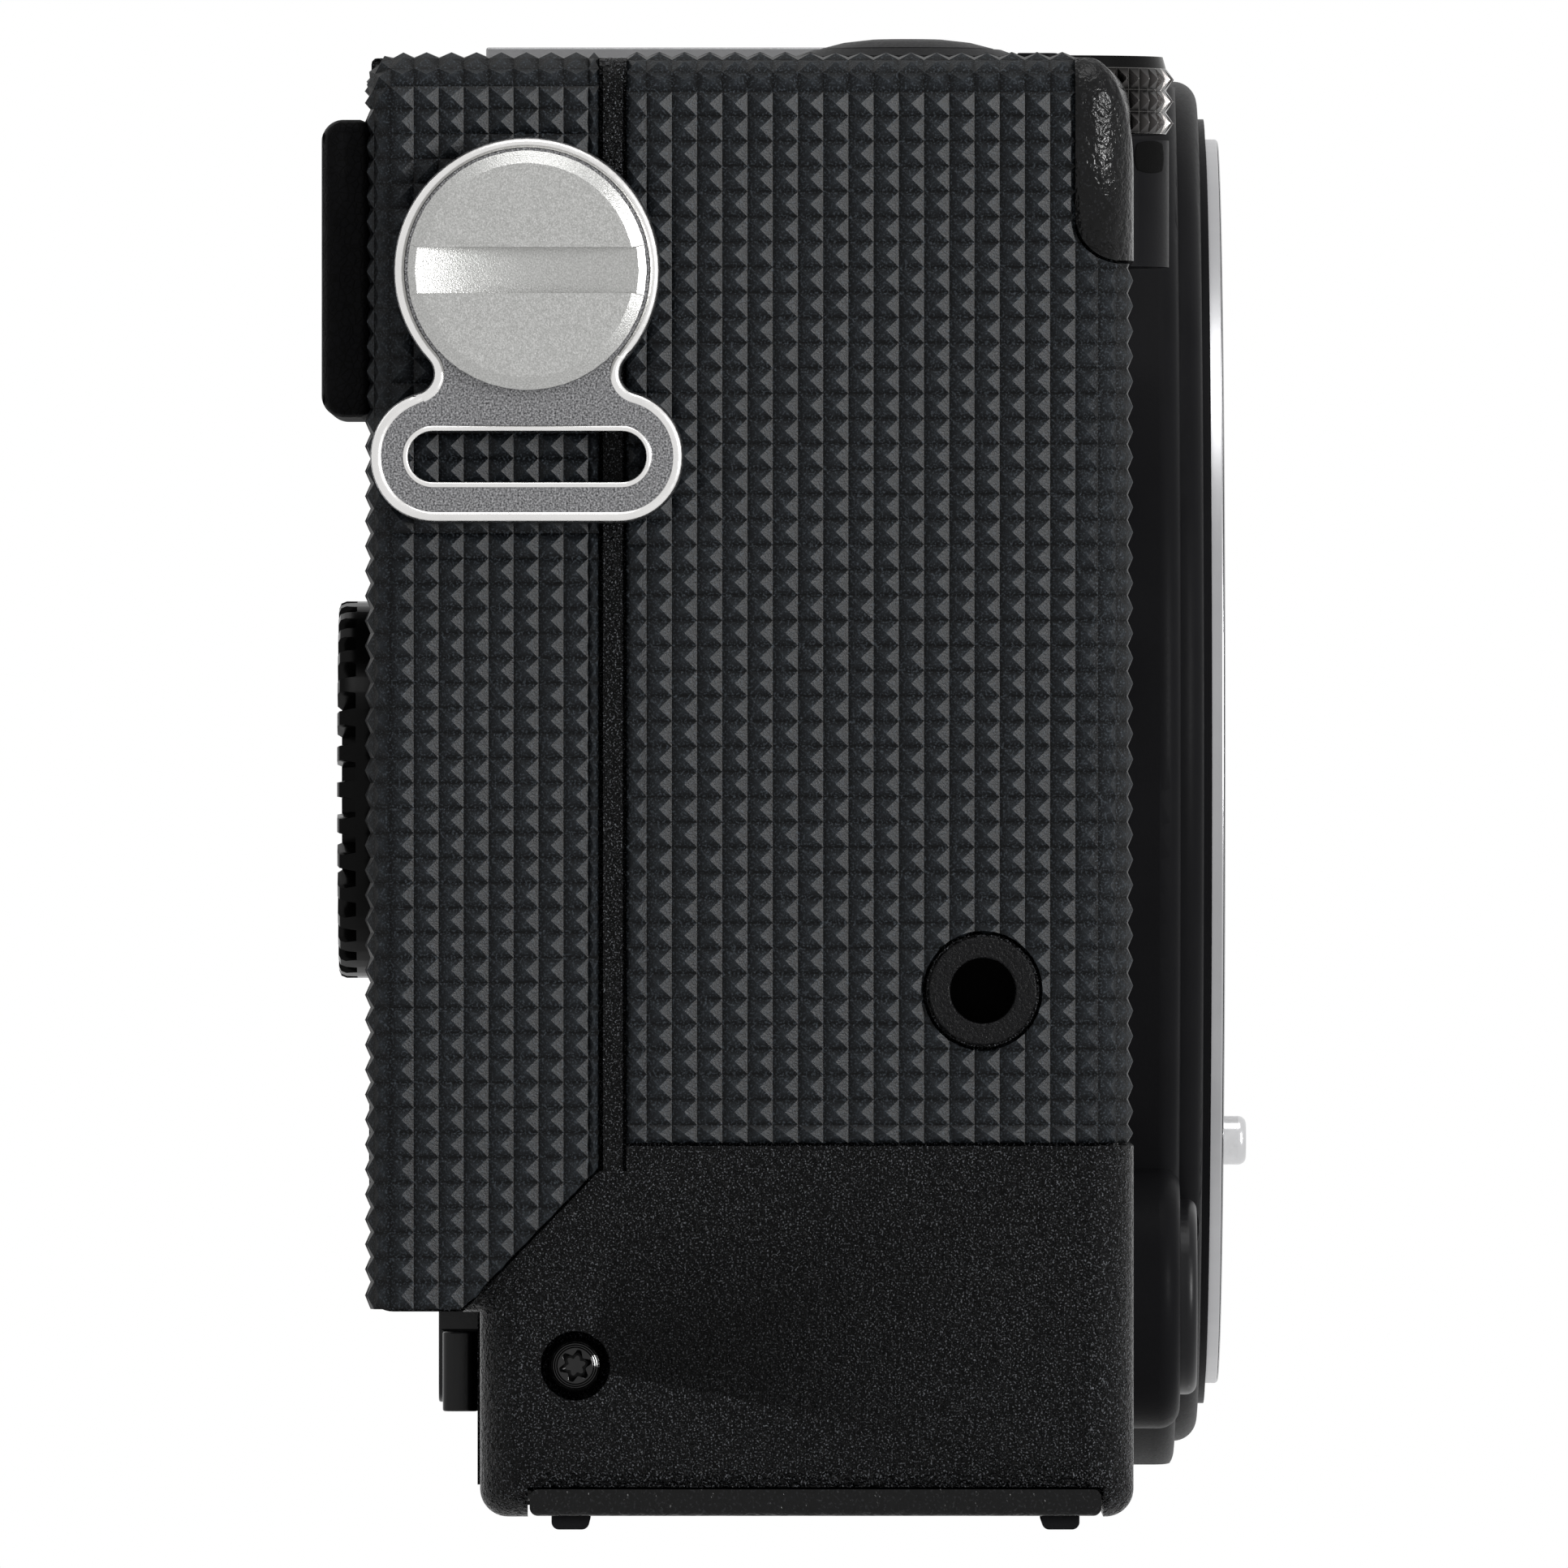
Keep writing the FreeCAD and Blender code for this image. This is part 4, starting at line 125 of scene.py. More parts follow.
class Finish:
    """The nodes of a material or a world. Their sockets take numbers, colours or wires."""

    def __init__(self, data):
        data.use_nodes = True
        self.data = data
        self.tree = data.node_tree
        self.shader = self.tree.nodes.get("Principled BSDF")

    def node(self, kind, settings=None, values=None, output=0):
        """Add a node, set its settings and then its sockets, and return one of its outputs."""
        made = self.tree.nodes.new(kind)
        for name, value in (settings or {}).items():
            if name == "stops":
                ramp = made.color_ramp
                while len(ramp.elements) < len(value):
                    ramp.elements.new(1.0)
                for stop, (place, color) in zip(ramp.elements, value):
                    stop.position = place
                    stop.color = color
            else:
                setattr(made, name, value)
        for name, value in (values or {}).items():
            self.join(made.inputs[name], value)
        return Wire(self, made.outputs[output])

    def join(self, socket, value):
        """Link a wire to a socket, or set the socket's value."""
        if isinstance(value, Wire):
            self.tree.links.new(value.socket, socket)
        else:
            socket.default_value = value

    def set(self, **values):
        """Fill the shader's sockets; underscores stand for spaces."""
        for name, value in values.items():
            self.join(self.shader.inputs[name.replace("_", " ")], value)

    def place(self, turn=(0.0, 0.0, 0.0), shift=(0.0, 0.0, 0.0)):
        """Object coordinates, turned and shifted."""
        where = self.node("ShaderNodeTexCoord", output="Object")
        return self.node("ShaderNodeMapping", None,
                         {"Vector": where, "Rotation": turn, "Location": shift})

    def worn(self):
        """How near to the tip of its pyramid a place lies, from 0 to 1; the finishes paint shade
        and highlights along it.
        """
        return self.node("ShaderNodeAttribute", {"attribute_name": "worn"}, output="Fac")

    def noise(self, size, detail=2.0, rough=0.5, warp=0.0):
        """Noise whose blobs are about a size in millimetres."""
        return self.node("ShaderNodeTexNoise", None, {
            "Vector": self.place(), "Scale": 1.0 / (size * MM), "Detail": detail,
            "Roughness": rough, "Distortion": warp})

    def creases(self, size):
        """Distance to the edge of cells of about a size in millimetres."""
        return self.node("ShaderNodeTexVoronoi", {"feature": "DISTANCE_TO_EDGE"},
                         {"Vector": self.place(), "Scale": 1.0 / (size * MM)}, "Distance")

    def ramp(self, factor, *stops):
        """Colours or greys along a factor."""
        full = [(place, shade(tone)) for place, tone in stops]
        return self.node("ShaderNodeValToRGB", {"stops": full}, {"Fac": factor})

    def mix(self, factor, *tones):
        """Blend of two colours."""
        first, second = [tone if isinstance(tone, Wire) else shade(tone) for tone in tones]
        return self.node("ShaderNodeMix", {"data_type": "RGBA"},
                         {"Factor": factor, 6: first, 7: second}, output=2)

    def fit(self, value, to_low, to_high, low=0.3, high=0.7):
        """Carry a value to another range, from the range of most noise if none is given."""
        return self.node("ShaderNodeMapRange", None, {
            "Value": value, "From Min": low, "From Max": high,
            "To Min": to_low, "To Max": to_high})

    def bump(self, height, depth, after=None):
        """Bump normal of a height that stands for a depth in millimetres."""
        values = {"Height": height, "Distance": depth * MM, "Strength": 1.0}
        if after:
            values["Normal"] = after
        return self.node("ShaderNodeBump", None, values)


# Finishes

def wrinkle(made, grain, depth, pit, lump, tip, rough, gleam):
    """Baked wrinkle paint: lumps run together over a fine tooth, with painted glints as light
    specks on its tips.
    """
    lumps = made.noise(grain, rough=0.6, warp=0.4)
    crust = made.ramp(lumps, (0.36, 0.0), (0.54, 0.7), (0.70, 1.0))
    tooth = made.noise(grain / 2.5, detail=1.0)
    # Painted glints: the tips mask lightens the base colour into specks that stand in for
    # highlights
    tips = made.ramp(made.noise(grain * 0.36, detail=1.0), (0.58, 0.0), (0.70, 1.0))
    made.set(Base_Color=made.mix(tips, made.mix(crust, pit, lump), tip),
             Roughness=made.fit(crust, rough + 0.12, rough, 0.0, 1.0), Specular_IOR_Level=gleam,
             Normal=made.bump(tooth, depth / 3, after=made.bump(crust, depth)))


def tower_paint(made):
    """Smooth satin black with a fine tooth."""
    tooth = made.noise(0.14)
    haze = made.noise(5.0)
    made.set(Base_Color=made.mix(haze, (0.0055, 0.0055, 0.0060), (0.0095, 0.0095, 0.0104)),
             Roughness=made.fit(tooth, 0.34, 0.42), Specular_IOR_Level=0.015,
             Normal=made.bump(tooth, 0.006))


def dusty_rubber(made, gleam, cool):
    """Moulded rubber, a little dusty in its grain, with a cool cast and painted shade that darkens
    each pyramid towards its foot.
    """
    def tone(level):
        return level, level * (1.0 + 0.17 * cool), level * (1.0 + 0.36 * cool)

    grain = made.noise(0.10, detail=3.0)
    patch = made.noise(3.0, detail=3.0)
    dust = made.ramp(grain, (0.52, 0.0), (0.72, 1.0))
    # Painted shade: each pyramid darkens towards its foot, lighter towards its tip
    flank = made.mix(made.worn(), tone(0.0012), made.mix(patch, tone(0.0115), tone(0.0175)))
    made.set(Base_Color=made.mix(dust, flank, tone(0.038)), Roughness=made.fit(grain, 0.27, 0.38),
             Specular_IOR_Level=gleam, Normal=made.bump(grain, 0.012))


def leather_rubber(made):
    """Fine leather grain: small cells with creases between."""
    wander = made.noise(1.2)
    grain = made.ramp(made.creases(0.34), (0.0, 0.0), (0.09, 0.7), (0.28, 1.0))
    made.set(Base_Color=made.mix(grain, 0.002, (0.004, 0.004, 0.0045)),
             Roughness=made.fit(wander, 0.50, 0.64), Specular_IOR_Level=0.03,
             Normal=made.bump(grain, 0.02))


def flange_steel(made):
    """Steel turned about the lens axis: fine rings and a slight change of tone."""
    steel = (0.44, 0.44, 0.45)
    pitch = 0.35 * MM
    where = made.place(turn=(QUARTER, 0.0, 0.0), shift=(-LENS[0], LENS[1], 0.0))
    rings = made.node("ShaderNodeTexWave", {"wave_type": "RINGS", "rings_direction": "Z"}, {
        "Vector": where, "Scale": 1.0 / pitch, "Distortion": 0.6, "Detail": 3.0,
        "Detail Scale": 2.0})
    tone = made.noise(2.0, detail=3.0)
    made.set(Base_Color=made.mix(tone, dimmed(steel, 0.86), steel), Metallic=1.0,
             Roughness=made.fit(rings, 0.22, 0.33, 0.0, 1.0),
             Normal=made.bump(rings, 0.002))


def blasted(made, tint, rough, grain, depth):
    """Bead-blasted metal: soft fine pits."""
    pits = made.noise(grain, detail=3.0, rough=0.6)
    tone = made.noise(2.5)
    made.set(Base_Color=made.mix(tone, dimmed(tint, 0.82), tint), Metallic=1.0,
             Roughness=made.fit(pits, rough, rough + 0.12), Normal=made.bump(pits, depth))


def pitted(made, grain, detail, coarse, low_rough, high_rough, *stops):
    """Coarser blasting, whose pits are darker than the metal between them."""
    pits = made.noise(grain, detail, coarse)
    made.set(Base_Color=made.ramp(pits, *stops), Metallic=1.0,
             Roughness=made.fit(pits, low_rough, high_rough), Normal=made.bump(pits, 0.016))


def speckled(made, first, second, low_rough, high_rough, gleam, grain, depth):
    """Black whose tone and gloss change with a fine grain."""
    speck = made.noise(grain, detail=3.0)
    made.set(Base_Color=made.mix(speck, first, second), Specular_IOR_Level=gleam,
             Roughness=made.fit(speck, low_rough, high_rough), Normal=made.bump(speck, depth))


def moulded(made, tint, rough, grain, depth, gleam):
    """Smooth moulding with a faint ripple and a soft change of gloss."""
    ripple = made.noise(grain)
    haze = made.noise(4.0, detail=3.0)
    made.set(Base_Color=made.mix(haze, dimmed(tint, 0.8), tint),
             Roughness=made.fit(haze, rough, rough + 0.08), Specular_IOR_Level=gleam,
             Normal=made.bump(ripple, depth))


def knurl_metal(made):
    """Gunmetal with painted shade and highlights on its pyramids: a thin light line at each foot,
    dark just above it, and light at the tips.
    """
    # Painted shade and highlights: light along the foot line, dark just above it, light at the tip
    tint = made.ramp(made.worn(), (0.0, (0.16, 0.155, 0.15)), (0.07, (0.010, 0.0095, 0.009)),
                     (0.5, (0.036, 0.034, 0.033)), (0.92, (0.060, 0.057, 0.056)),
                     (1.0, (0.5, 0.49, 0.48)))
    pits = made.noise(0.12, detail=3.0)
    made.set(Base_Color=tint, Metallic=1.0, Roughness=made.fit(pits, 0.17, 0.27),
             Normal=made.bump(pits, 0.004))


def sensor_glass(made):
    """Filter glass: clear with a cool cast."""
    cast = made.noise(9.0, detail=1.0)
    made.set(Base_Color=made.mix(cast, (0.55, 0.72, 0.74), (0.72, 0.66, 0.78)), Roughness=0.03,
             Transmission_Weight=0.85, Alpha=made.fit(cast, 0.30, 0.38))


def sensor_face(made):
    """Silicon with faint rainbow bands painted into its colour, for the light that its surface
    diffracts.
    """
    where = made.place(shift=(-LENS[0], 0.0, -LENS[1]))
    bands = made.node("ShaderNodeTexWave", {"bands_direction": "DIAGONAL"},
                      {"Vector": where, "Scale": 18.0, "Distortion": 0.6, "Detail": 1.0})
    # Painted reflection: rainbow bands of diffracted light in the base colour
    tint = made.ramp(bands, (0.0, (0.05, 0.10, 0.14)), (0.4, (0.10, 0.06, 0.15)),
                     (0.7, (0.06, 0.13, 0.08)), (1.0, (0.13, 0.10, 0.05)))
    made.set(Base_Color=tint, Metallic=0.6, Roughness=made.fit(bands, 0.16, 0.24, 0.0, 1.0))


def board_green(made):
    """Solder mask with traces under it."""
    traces = made.node("ShaderNodeTexBrick", {"offset": 0.5}, {
        "Vector": made.place(turn=(QUARTER, 0.0, 0.0)), "Scale": 420.0, "Mortar Size": 0.03,
        "Color1": shade((0.012, 0.075, 0.035)), "Color2": shade((0.016, 0.095, 0.045)),
        "Mortar": shade((0.03, 0.16, 0.07))})
    speck = made.noise(0.6)
    made.set(Base_Color=traces, Roughness=made.fit(speck, 0.32, 0.48),
             Normal=made.bump(speck, 0.01))


# What makes each finish, and what its maker takes
RECIPES = {
    # Grain, depth, the tones of pits, lumps and tips (the tips' tone is a painted glint),
    # roughness, gleam
    "shell_paint": (wrinkle, 0.24, 0.16, (0.0004, 0.0004, 0.0005),
                    (0.0012, 0.0013, 0.0015), (0.088, 0.092, 0.100), 0.15, 0.07),
    "cover_paint": (wrinkle, 0.40, 0.034, (0.0004, 0.0004, 0.0005),
                    (0.0016, 0.0017, 0.0019), (0.010, 0.0105, 0.0115), 0.15, 0.17),
    "socket_metal": (wrinkle, 0.16, 0.03, (0.0015, 0.0015, 0.0018),
                     (0.0055, 0.0055, 0.006), (0.016, 0.016, 0.017), 0.20, 0.09),
    "tower_paint": (tower_paint,),
    # Gleam, strength of the cool cast; the skins' turned edges stay dark
    "skin_rubber": (dusty_rubber, 0.09, 1.0),
    "skin_edge": (dusty_rubber, 0.02, 0.4),
    "leather_rubber": (leather_rubber,),
    "flange_steel": (flange_steel,),
    # Grain, detail and coarseness of the pits, roughness of pits and land, tones
    "lug_steel": (pitted, 0.09, 3.0, 0.65, 0.42, 0.30, (0.34, (0.03, 0.03, 0.032)),
                  (0.50, (0.19, 0.19, 0.195)), (0.66, (0.42, 0.42, 0.43))),
    "coin_steel": (pitted, 0.07, 2.0, 0.6, 0.30, 0.40, (0.30, (0.33, 0.33, 0.32)),
                   (0.50, (0.42, 0.42, 0.41)), (0.70, (0.54, 0.54, 0.53))),
    # Tint, roughness, grain, depth
    "lug_rim": (blasted, (0.80, 0.79, 0.78), 0.20, 0.25, 0.002),
    "pin_steel": (blasted, (0.66, 0.66, 0.67), 0.14, 0.2, 0.001),
    "shoe_steel": (blasted, (0.28, 0.28, 0.285), 0.34, 0.15, 0.004),
    "screw_steel": (blasted, (0.50, 0.50, 0.51), 0.28, 0.12, 0.004),
    "dial_metal": (blasted, (0.120, 0.114, 0.112), 0.26, 0.12, 0.004),
    "hinge_steel": (blasted, (0.34, 0.34, 0.35), 0.30, 0.15, 0.004),
    "chassis_metal": (blasted, (0.42, 0.42, 0.43), 0.42, 0.25, 0.02),
    "gold_pins": (blasted, (0.86, 0.62, 0.26), 0.18, 0.2, 0.002),
    # Two tones, two roughnesses, gleam, grain, depth
    "screw_black": (speckled, 0.001, 0.003, 0.07, 0.15, 0.34, 0.3, 0.006),
    "inner_black": (speckled, 0.0015, 0.004, 0.70, 0.86, 0.03, 0.1, 0.02),
    "knurl_metal": (knurl_metal,),
    # Tint, roughness, grain, depth, gleam
    "control_black": (moulded, (0.0025, 0.0025, 0.0025), 0.16, 0.5, 0.002, 0.06),
    "button_satin": (moulded, (0.008, 0.008, 0.009), 0.30, 0.15, 0.003, 0.15),
    "monitor_case": (moulded, (0.0025, 0.0025, 0.003), 0.13, 0.15, 0.002, 0.22),
    "monitor_glass": (moulded, (0.003, 0.003, 0.004), 0.05, 3.0, 0.0005, 0.2),
    "blade_metal": (moulded, (0.008, 0.008, 0.008), 0.42, 0.2, 0.003, 0.1),
    "battery_grey": (moulded, (0.055, 0.055, 0.060), 0.45, 0.2, 0.006, 0.0),
    "card_blue": (moulded, (0.012, 0.022, 0.070), 0.38, 0.2, 0.004, 0.0),
    "foot_rubber": (moulded, (0.014, 0.014, 0.015), 0.50, 0.15, 0.01, 0.0),
    "numeral_white": (moulded, (0.62, 0.62, 0.60), 0.45, 0.2, 0.002, 0.2),
    "lamp_glass": (moulded, (0.10, 0.022, 0.012), 0.08, 1.0, 0.001, 0.3),
    "sensor_glass": (sensor_glass,),
    "sensor_face": (sensor_face,),
    "board_green": (board_green,),
}

NODE_FINISHES = {
    "shell_paint": ("grip_end_frame", "left_end_cover", "front_cover", "rear_cover"),
    "tower_paint": ("mount_tower", "shutter_button", "power_lever"),
    "cover_paint": ("top_cover", "bottom_cover", "battery_door"),
    "skin_rubber": ("grip_skin_front", "grip_skin_rear", "left_skin", "port_door"),
    "leather_rubber": ("thumb_rest",),
    "flange_steel": ("mount_flange",),
    "lug_steel": ("strap_studs", "strap_plate_right", "strap_plate_left"),
    "coin_steel": ("coin_screw_right", "coin_screw_left"),
    "pin_steel": ("lens_lock_pin", "hot_shoe_spring", "port_connectors"),
    "screw_steel": ("mount_screws",),
    "shoe_steel": ("hot_shoe",),
    "screw_black": ("case_screws",),
    "control_black": ("rear_dial",),
    "button_satin": ("direction_pad", "ok_button", "menu_button", "playback_button",
                     "movie_button", "lens_release_button", "battery_door_latch"),
    "socket_metal": ("side_socket_bush",),
    "dial_metal": ("front_dial", "mode_dial"),
    "monitor_case": ("monitor_frame",),
    "monitor_glass": ("monitor_window",),
    "hinge_steel": ("monitor_arm", "tripod_socket"),
    "inner_black": ("contact_block", "light_baffle", "shutter_frame", "battery_tray"),
    "chassis_metal": ("sensor_bracket", "inner_chassis"),
    "blade_metal": ("shutter_blade_1", "shutter_blade_2", "shutter_blade_3"),
    "sensor_glass": ("sensor_glass",),
    "sensor_face": ("image_sensor",),
    "board_green": ("main_board",),
    "battery_grey": ("battery",),
    "card_blue": ("memory_card",),
    "gold_pins": ("contact_pins",),
    "foot_rubber": ("bottom_feet", "door_feet"),
    "lamp_glass": ("lamp_window",),
}
FINISH_OF = {node: name for name, nodes in NODE_FINISHES.items() for node in nodes}

# Body, and width in millimetres, of the nodes that get broken edges
BROKEN_EDGES = {
    "side_socket_bush": ("camera", 0.12),
    "thumb_rest": ("camera", 0.5),
    "shutter_button": ("shutter_release", 0.10),
    "power_lever": ("power_switch", 0.08),
    "hot_shoe": ("camera", 0.10),
    "mount_flange": ("camera", 0.08),
    "monitor_frame": ("monitor", 0.15),
    "direction_pad": ("four_way_pad", 0.15),
    "ok_button": ("ok_key", 0.12),
    "menu_button": ("menu_key", 0.12),
    "playback_button": ("playback_key", 0.12),
    "movie_button": ("movie_key", 0.12),
    "lens_release_button": ("release_key", 0.15),
}

finishes = {}


def finish(name):
    """Material of a finish, made once."""
    if name not in finishes:
        made = Finish(bpy.data.materials.new(name))
        maker, *row = RECIPES[name]
        maker(made, *row)
        finishes[name] = made.data
    return finishes[name]


# Mesh helpers

def add(name, data):
    """New object in the scene that holds some data."""
    item = bpy.data.objects.new(name, data)
    bpy.context.scene.collection.objects.link(item)
    return item


def mesh_of(name, bm):
    """Turn a bmesh into a mesh."""
    mesh = bpy.data.meshes.new(name)
    bm.to_mesh(mesh)
    bm.free()
    return mesh


def piece(name, bm, material, body, *nodes, smooth=None):
    """Turn a bmesh into a piece that rides on a body and stands for CAD nodes."""
    item = add(name, mesh_of(name, bm))
    item.data.materials.append(finish(material))
    if smooth is not None:
        item.data.shade_smooth()
        item.data.set_sharp_from_angle(angle=math.radians(smooth))
    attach(item, body)
    if nodes:
        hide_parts(*nodes)
    return item


def thicken(item, thickness):
    """Give an open sheet a wall towards its inside."""
    wall = item.modifiers.new("wall", "SOLIDIFY")
    wall.thickness = thickness
    wall.offset = -1.0


def merge(bm):
    """Make doubled corners one."""
    bmesh.ops.remove_doubles(bm, verts=bm.verts, dist=SAME)


def face_outward(bm):
    bmesh.ops.recalc_face_normals(bm, faces=bm.faces)


def copied(node):
    """Copy of a CAD node's mesh with its doubles merged."""
    bm = bmesh.new()
    bm.from_mesh(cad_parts[node].data)
    merge(bm)
    return bm


def merged(node):
    """Copy of a CAD node's mesh whose flat faces are whole."""
    bm = copied(node)
    bmesh.ops.dissolve_limit(bm, angle_limit=math.radians(1.0), verts=bm.verts, edges=bm.edges)
    return bm


def middle_of(node):
    low, high = NODES[node]
    return (low + high) / 2


def lower(bm, axis, level, reach):
    """Bring the corners that stand less than a reach beyond a level back to it."""
    for vert in bm.verts:
        if level < vert.co[axis] < level + reach:
            vert.co[axis] = level
    merge(bm)
    bmesh.ops.dissolve_degenerate(bm, edges=bm.edges, dist=SAME)
    face_outward(bm)


def sheet(columns, rows, place, outward):
    """Grid of quads; a function of a column's and a row's value puts each corner."""
    bm = bmesh.new()
    across, up = len(columns) - 1, len(rows) - 1
    bmesh.ops.create_grid(bm, x_segments=across, y_segments=up, size=1.0)
    for vert in bm.verts:
        column = columns[round((vert.co.x + 1.0) / 2.0 * across)]
        row = rows[round((vert.co.y + 1.0) / 2.0 * up)]
        vert.co = place(column, row)
    bm.normal_update()
    if sum(face.normal.dot(outward(face.calc_center_median())) for face in bm.faces) < 0.0:
        bmesh.ops.reverse_faces(bm, faces=bm.faces)
    return bm


def from_middle(point):
    """Way out of the body at a place."""
    return point - BODY_MIDDLE


def lines(low, high, pitch, start):
    """Grid lines of a pitch between two ends, none nearer to an end than a fifth of it."""
    first = math.ceil((low - start) / pitch + 0.2)
    last = math.floor((high - start) / pitch - 0.2)
    return [low, *(start + pitch * step for step in range(first, last + 1)), high]


def split(bm, faces, point, normal):
    """Cut some faces along a plane."""
    edges = {edge for face in faces for edge in face.edges}
    verts = {vert for face in faces for vert in face.verts}
    bmesh.ops.bisect_plane(bm, geom=[*faces, *edges, *verts], dist=FINE,
                           plane_co=point, plane_no=normal)


def carve(bm, near, planes, gone):
    """Cut the faces near a place along planes, then delete the faces that a test names."""
    for point, normal in planes:
        split(bm, [face for face in bm.faces if near(face.calc_center_median())], point, normal)
    lost = [face for face in bm.faces
            if near(face.calc_center_median()) and gone(face.calc_center_median())]
    bmesh.ops.delete(bm, geom=lost, context="FACES")


def plane(axis, level):
    """Point and normal of a plane square to an axis."""
    normal = Vector((0.0, 0.0, 0.0))
    normal[axis] = 1.0
    return normal * level, normal


def round_planes(middle, radius, count, first=0.0, last=FULL):
    """Planes that stand on a circle about an axis along X."""
    planes = []
    for step in range(count):
        angle = first + (last - first) * (step + 0.5) / count
        out = Vector((0.0, math.cos(angle), math.sin(angle)))
        planes.append((Vector((0.0, *middle)) + out * radius, out))
    return planes


def within(point, middle, radius):
    """Whether a point is inside a circle about an axis along X."""
    return math.hypot(point.y - middle[0], point.z - middle[1]) < radius


def hole(middle, radius, count, pitch):
    """Trim that opens a round hole in a skin."""
    return (lambda point: within(point, middle, radius + pitch),
            round_planes(middle, radius, count), lambda point: within(point, middle, radius))


def open_edges(bm):
    return [edge for edge in bm.edges if edge.is_boundary]


def taper(bm, rim, middle, axis, steps):
    """Carry an open rim on round an axis. A step is a way along it, a radius and any lobes."""
    middle = Vector(middle)
    for along, radius, *lobes in steps:
        made = bmesh.ops.extrude_edge_only(bm, edges=rim)["geom"]
        rim = [part for part in made if isinstance(part, bmesh.types.BMEdge)]
        for vert in {vert for edge in rim for vert in edge.verts}:
            out = vert.co - middle
            out -= axis * out.dot(axis)
            out.normalize()
            reach = radius
            if lobes:
                count, depth = lobes[0]
                side = axis.orthogonal().normalized()
                angle = math.atan2(out.dot(axis.cross(side)), out.dot(side))
                reach *= 1.0 + depth * math.cos(count * angle)
            vert.co = middle + axis * along + out * reach
    return rim


# Sizes that a user would change

def length(name, description, default, low, high):
    """Length in a property group."""
    return bpy.props.FloatProperty(name=name, description=description, default=default,
                                   min=low, max=high, unit="LENGTH")


class ReliefSizes(bpy.types.PropertyGroup):
    pitch: length("Pitch", "From one pyramid of the skins to the next", 0.00116, 0.0006, 0.003)
    height: length("Height", "Height of the pyramids", 0.00026, 0.0001, 0.0005)
    rubber: length("Rubber", "Thickness of the skins under the pyramids", 0.00036, 0.0002, 0.0004)
    rim: length("Rim radius", "Radius that the skins turn round the body's edges",
                0.0024, 0.001, 0.003)
    rear_rim: length("Rear rim radius", "Radius of the rear skin's turn onto the back",
                     0.0015, 0.001, 0.003)
    gap: length("Gap", "Width of the groove between a skin and the paint beside it",
                0.00014, 0.0, 0.0004)


class CoinSizes(bpy.types.PropertyGroup):
    chamfer: length("Chamfer", "Width of the coin screw's chamfer", 0.00058, 0.0002, 0.001)
    slot: length("Slot width", "Width of the coin slot", 0.00212, 0.001, 0.003)
    hollow: length("Hollow", "Depth that the slot's floor is milled hollow", 0.00085, 0.0, 0.001)


class LugSizes(bpy.types.PropertyGroup):
    bead: length("Bead", "Radius of the bead round the strap plates", 0.00027, 0.0001, 0.0004)
    slot_bead: length("Slot bead", "Radius of the bead round the slot of the strap plates",
                      0.00015, 0.0001, 0.0003)
    proud: length("Proud", "How far the beads stand out of the plate", 0.0001, 0.0, 0.0002)


class ModeSizes(bpy.types.PropertyGroup):
    count: bpy.props.IntProperty(
        name="Numbers", description="How many numbers stand round the mode dial", default=9,
        min=4, max=12)
    size: length("Number size", "Height of the numbers on the mode dial", 0.0021, 0.001, 0.003)
    ring: length("Number ring", "Radius that the numbers stand on", 0.0056, 0.003, 0.0065)


class BrowSizes(bpy.types.PropertyGroup):
    rise: length("Rise", "Height over which the brow curves back", 0.0052, 0.003, 0.008)
    set_back: length("Set back", "How far the brow's top lies behind its front",
                     0.0021, 0.0005, 0.003)


class StudioSizes(bpy.types.PropertyGroup):
    distance: length("Camera distance", "From the middle of the object to the lens",
                     1.601, 0.2, 10.0)
    aim_height: length("Aim height", "Height that the camera looks at", 0.03431, -1.0, 1.0)
    aim_side: length("Aim side", "Place across the view that the camera looks at",
                     0.00025, -1.0, 1.0)
    focal: bpy.props.FloatProperty(
        name="Focal length", description="Focal length in millimetres", default=771.35,
        unit="CAMERA")
    floor_tone: bpy.props.FloatVectorProperty(
        name="Floor colour", description="Colour of the floor", default=(0.93, 0.93, 0.93),
        min=0.0, max=1.0, subtype="COLOR")


GROUPS = {
    "mirrorless_studio": StudioSizes,
    "mirrorless_relief": ReliefSizes,
    "mirrorless_coin": CoinSizes,
    "mirrorless_lug": LugSizes,
    "mirrorless_mode": ModeSizes,
    "mirrorless_brow": BrowSizes,
}


def see_through(made):
    """One where a ray comes straight from the camera, or off metal or through glass."""
    camera, glossy, glass = [made.node("ShaderNodeLightPath", output=name) for name in (
        "Is Camera Ray", "Is Glossy Ray", "Is Transmission Ray")]
    return 1.0 - (1.0 - camera) * (1.0 - glossy) * (1.0 - glass)


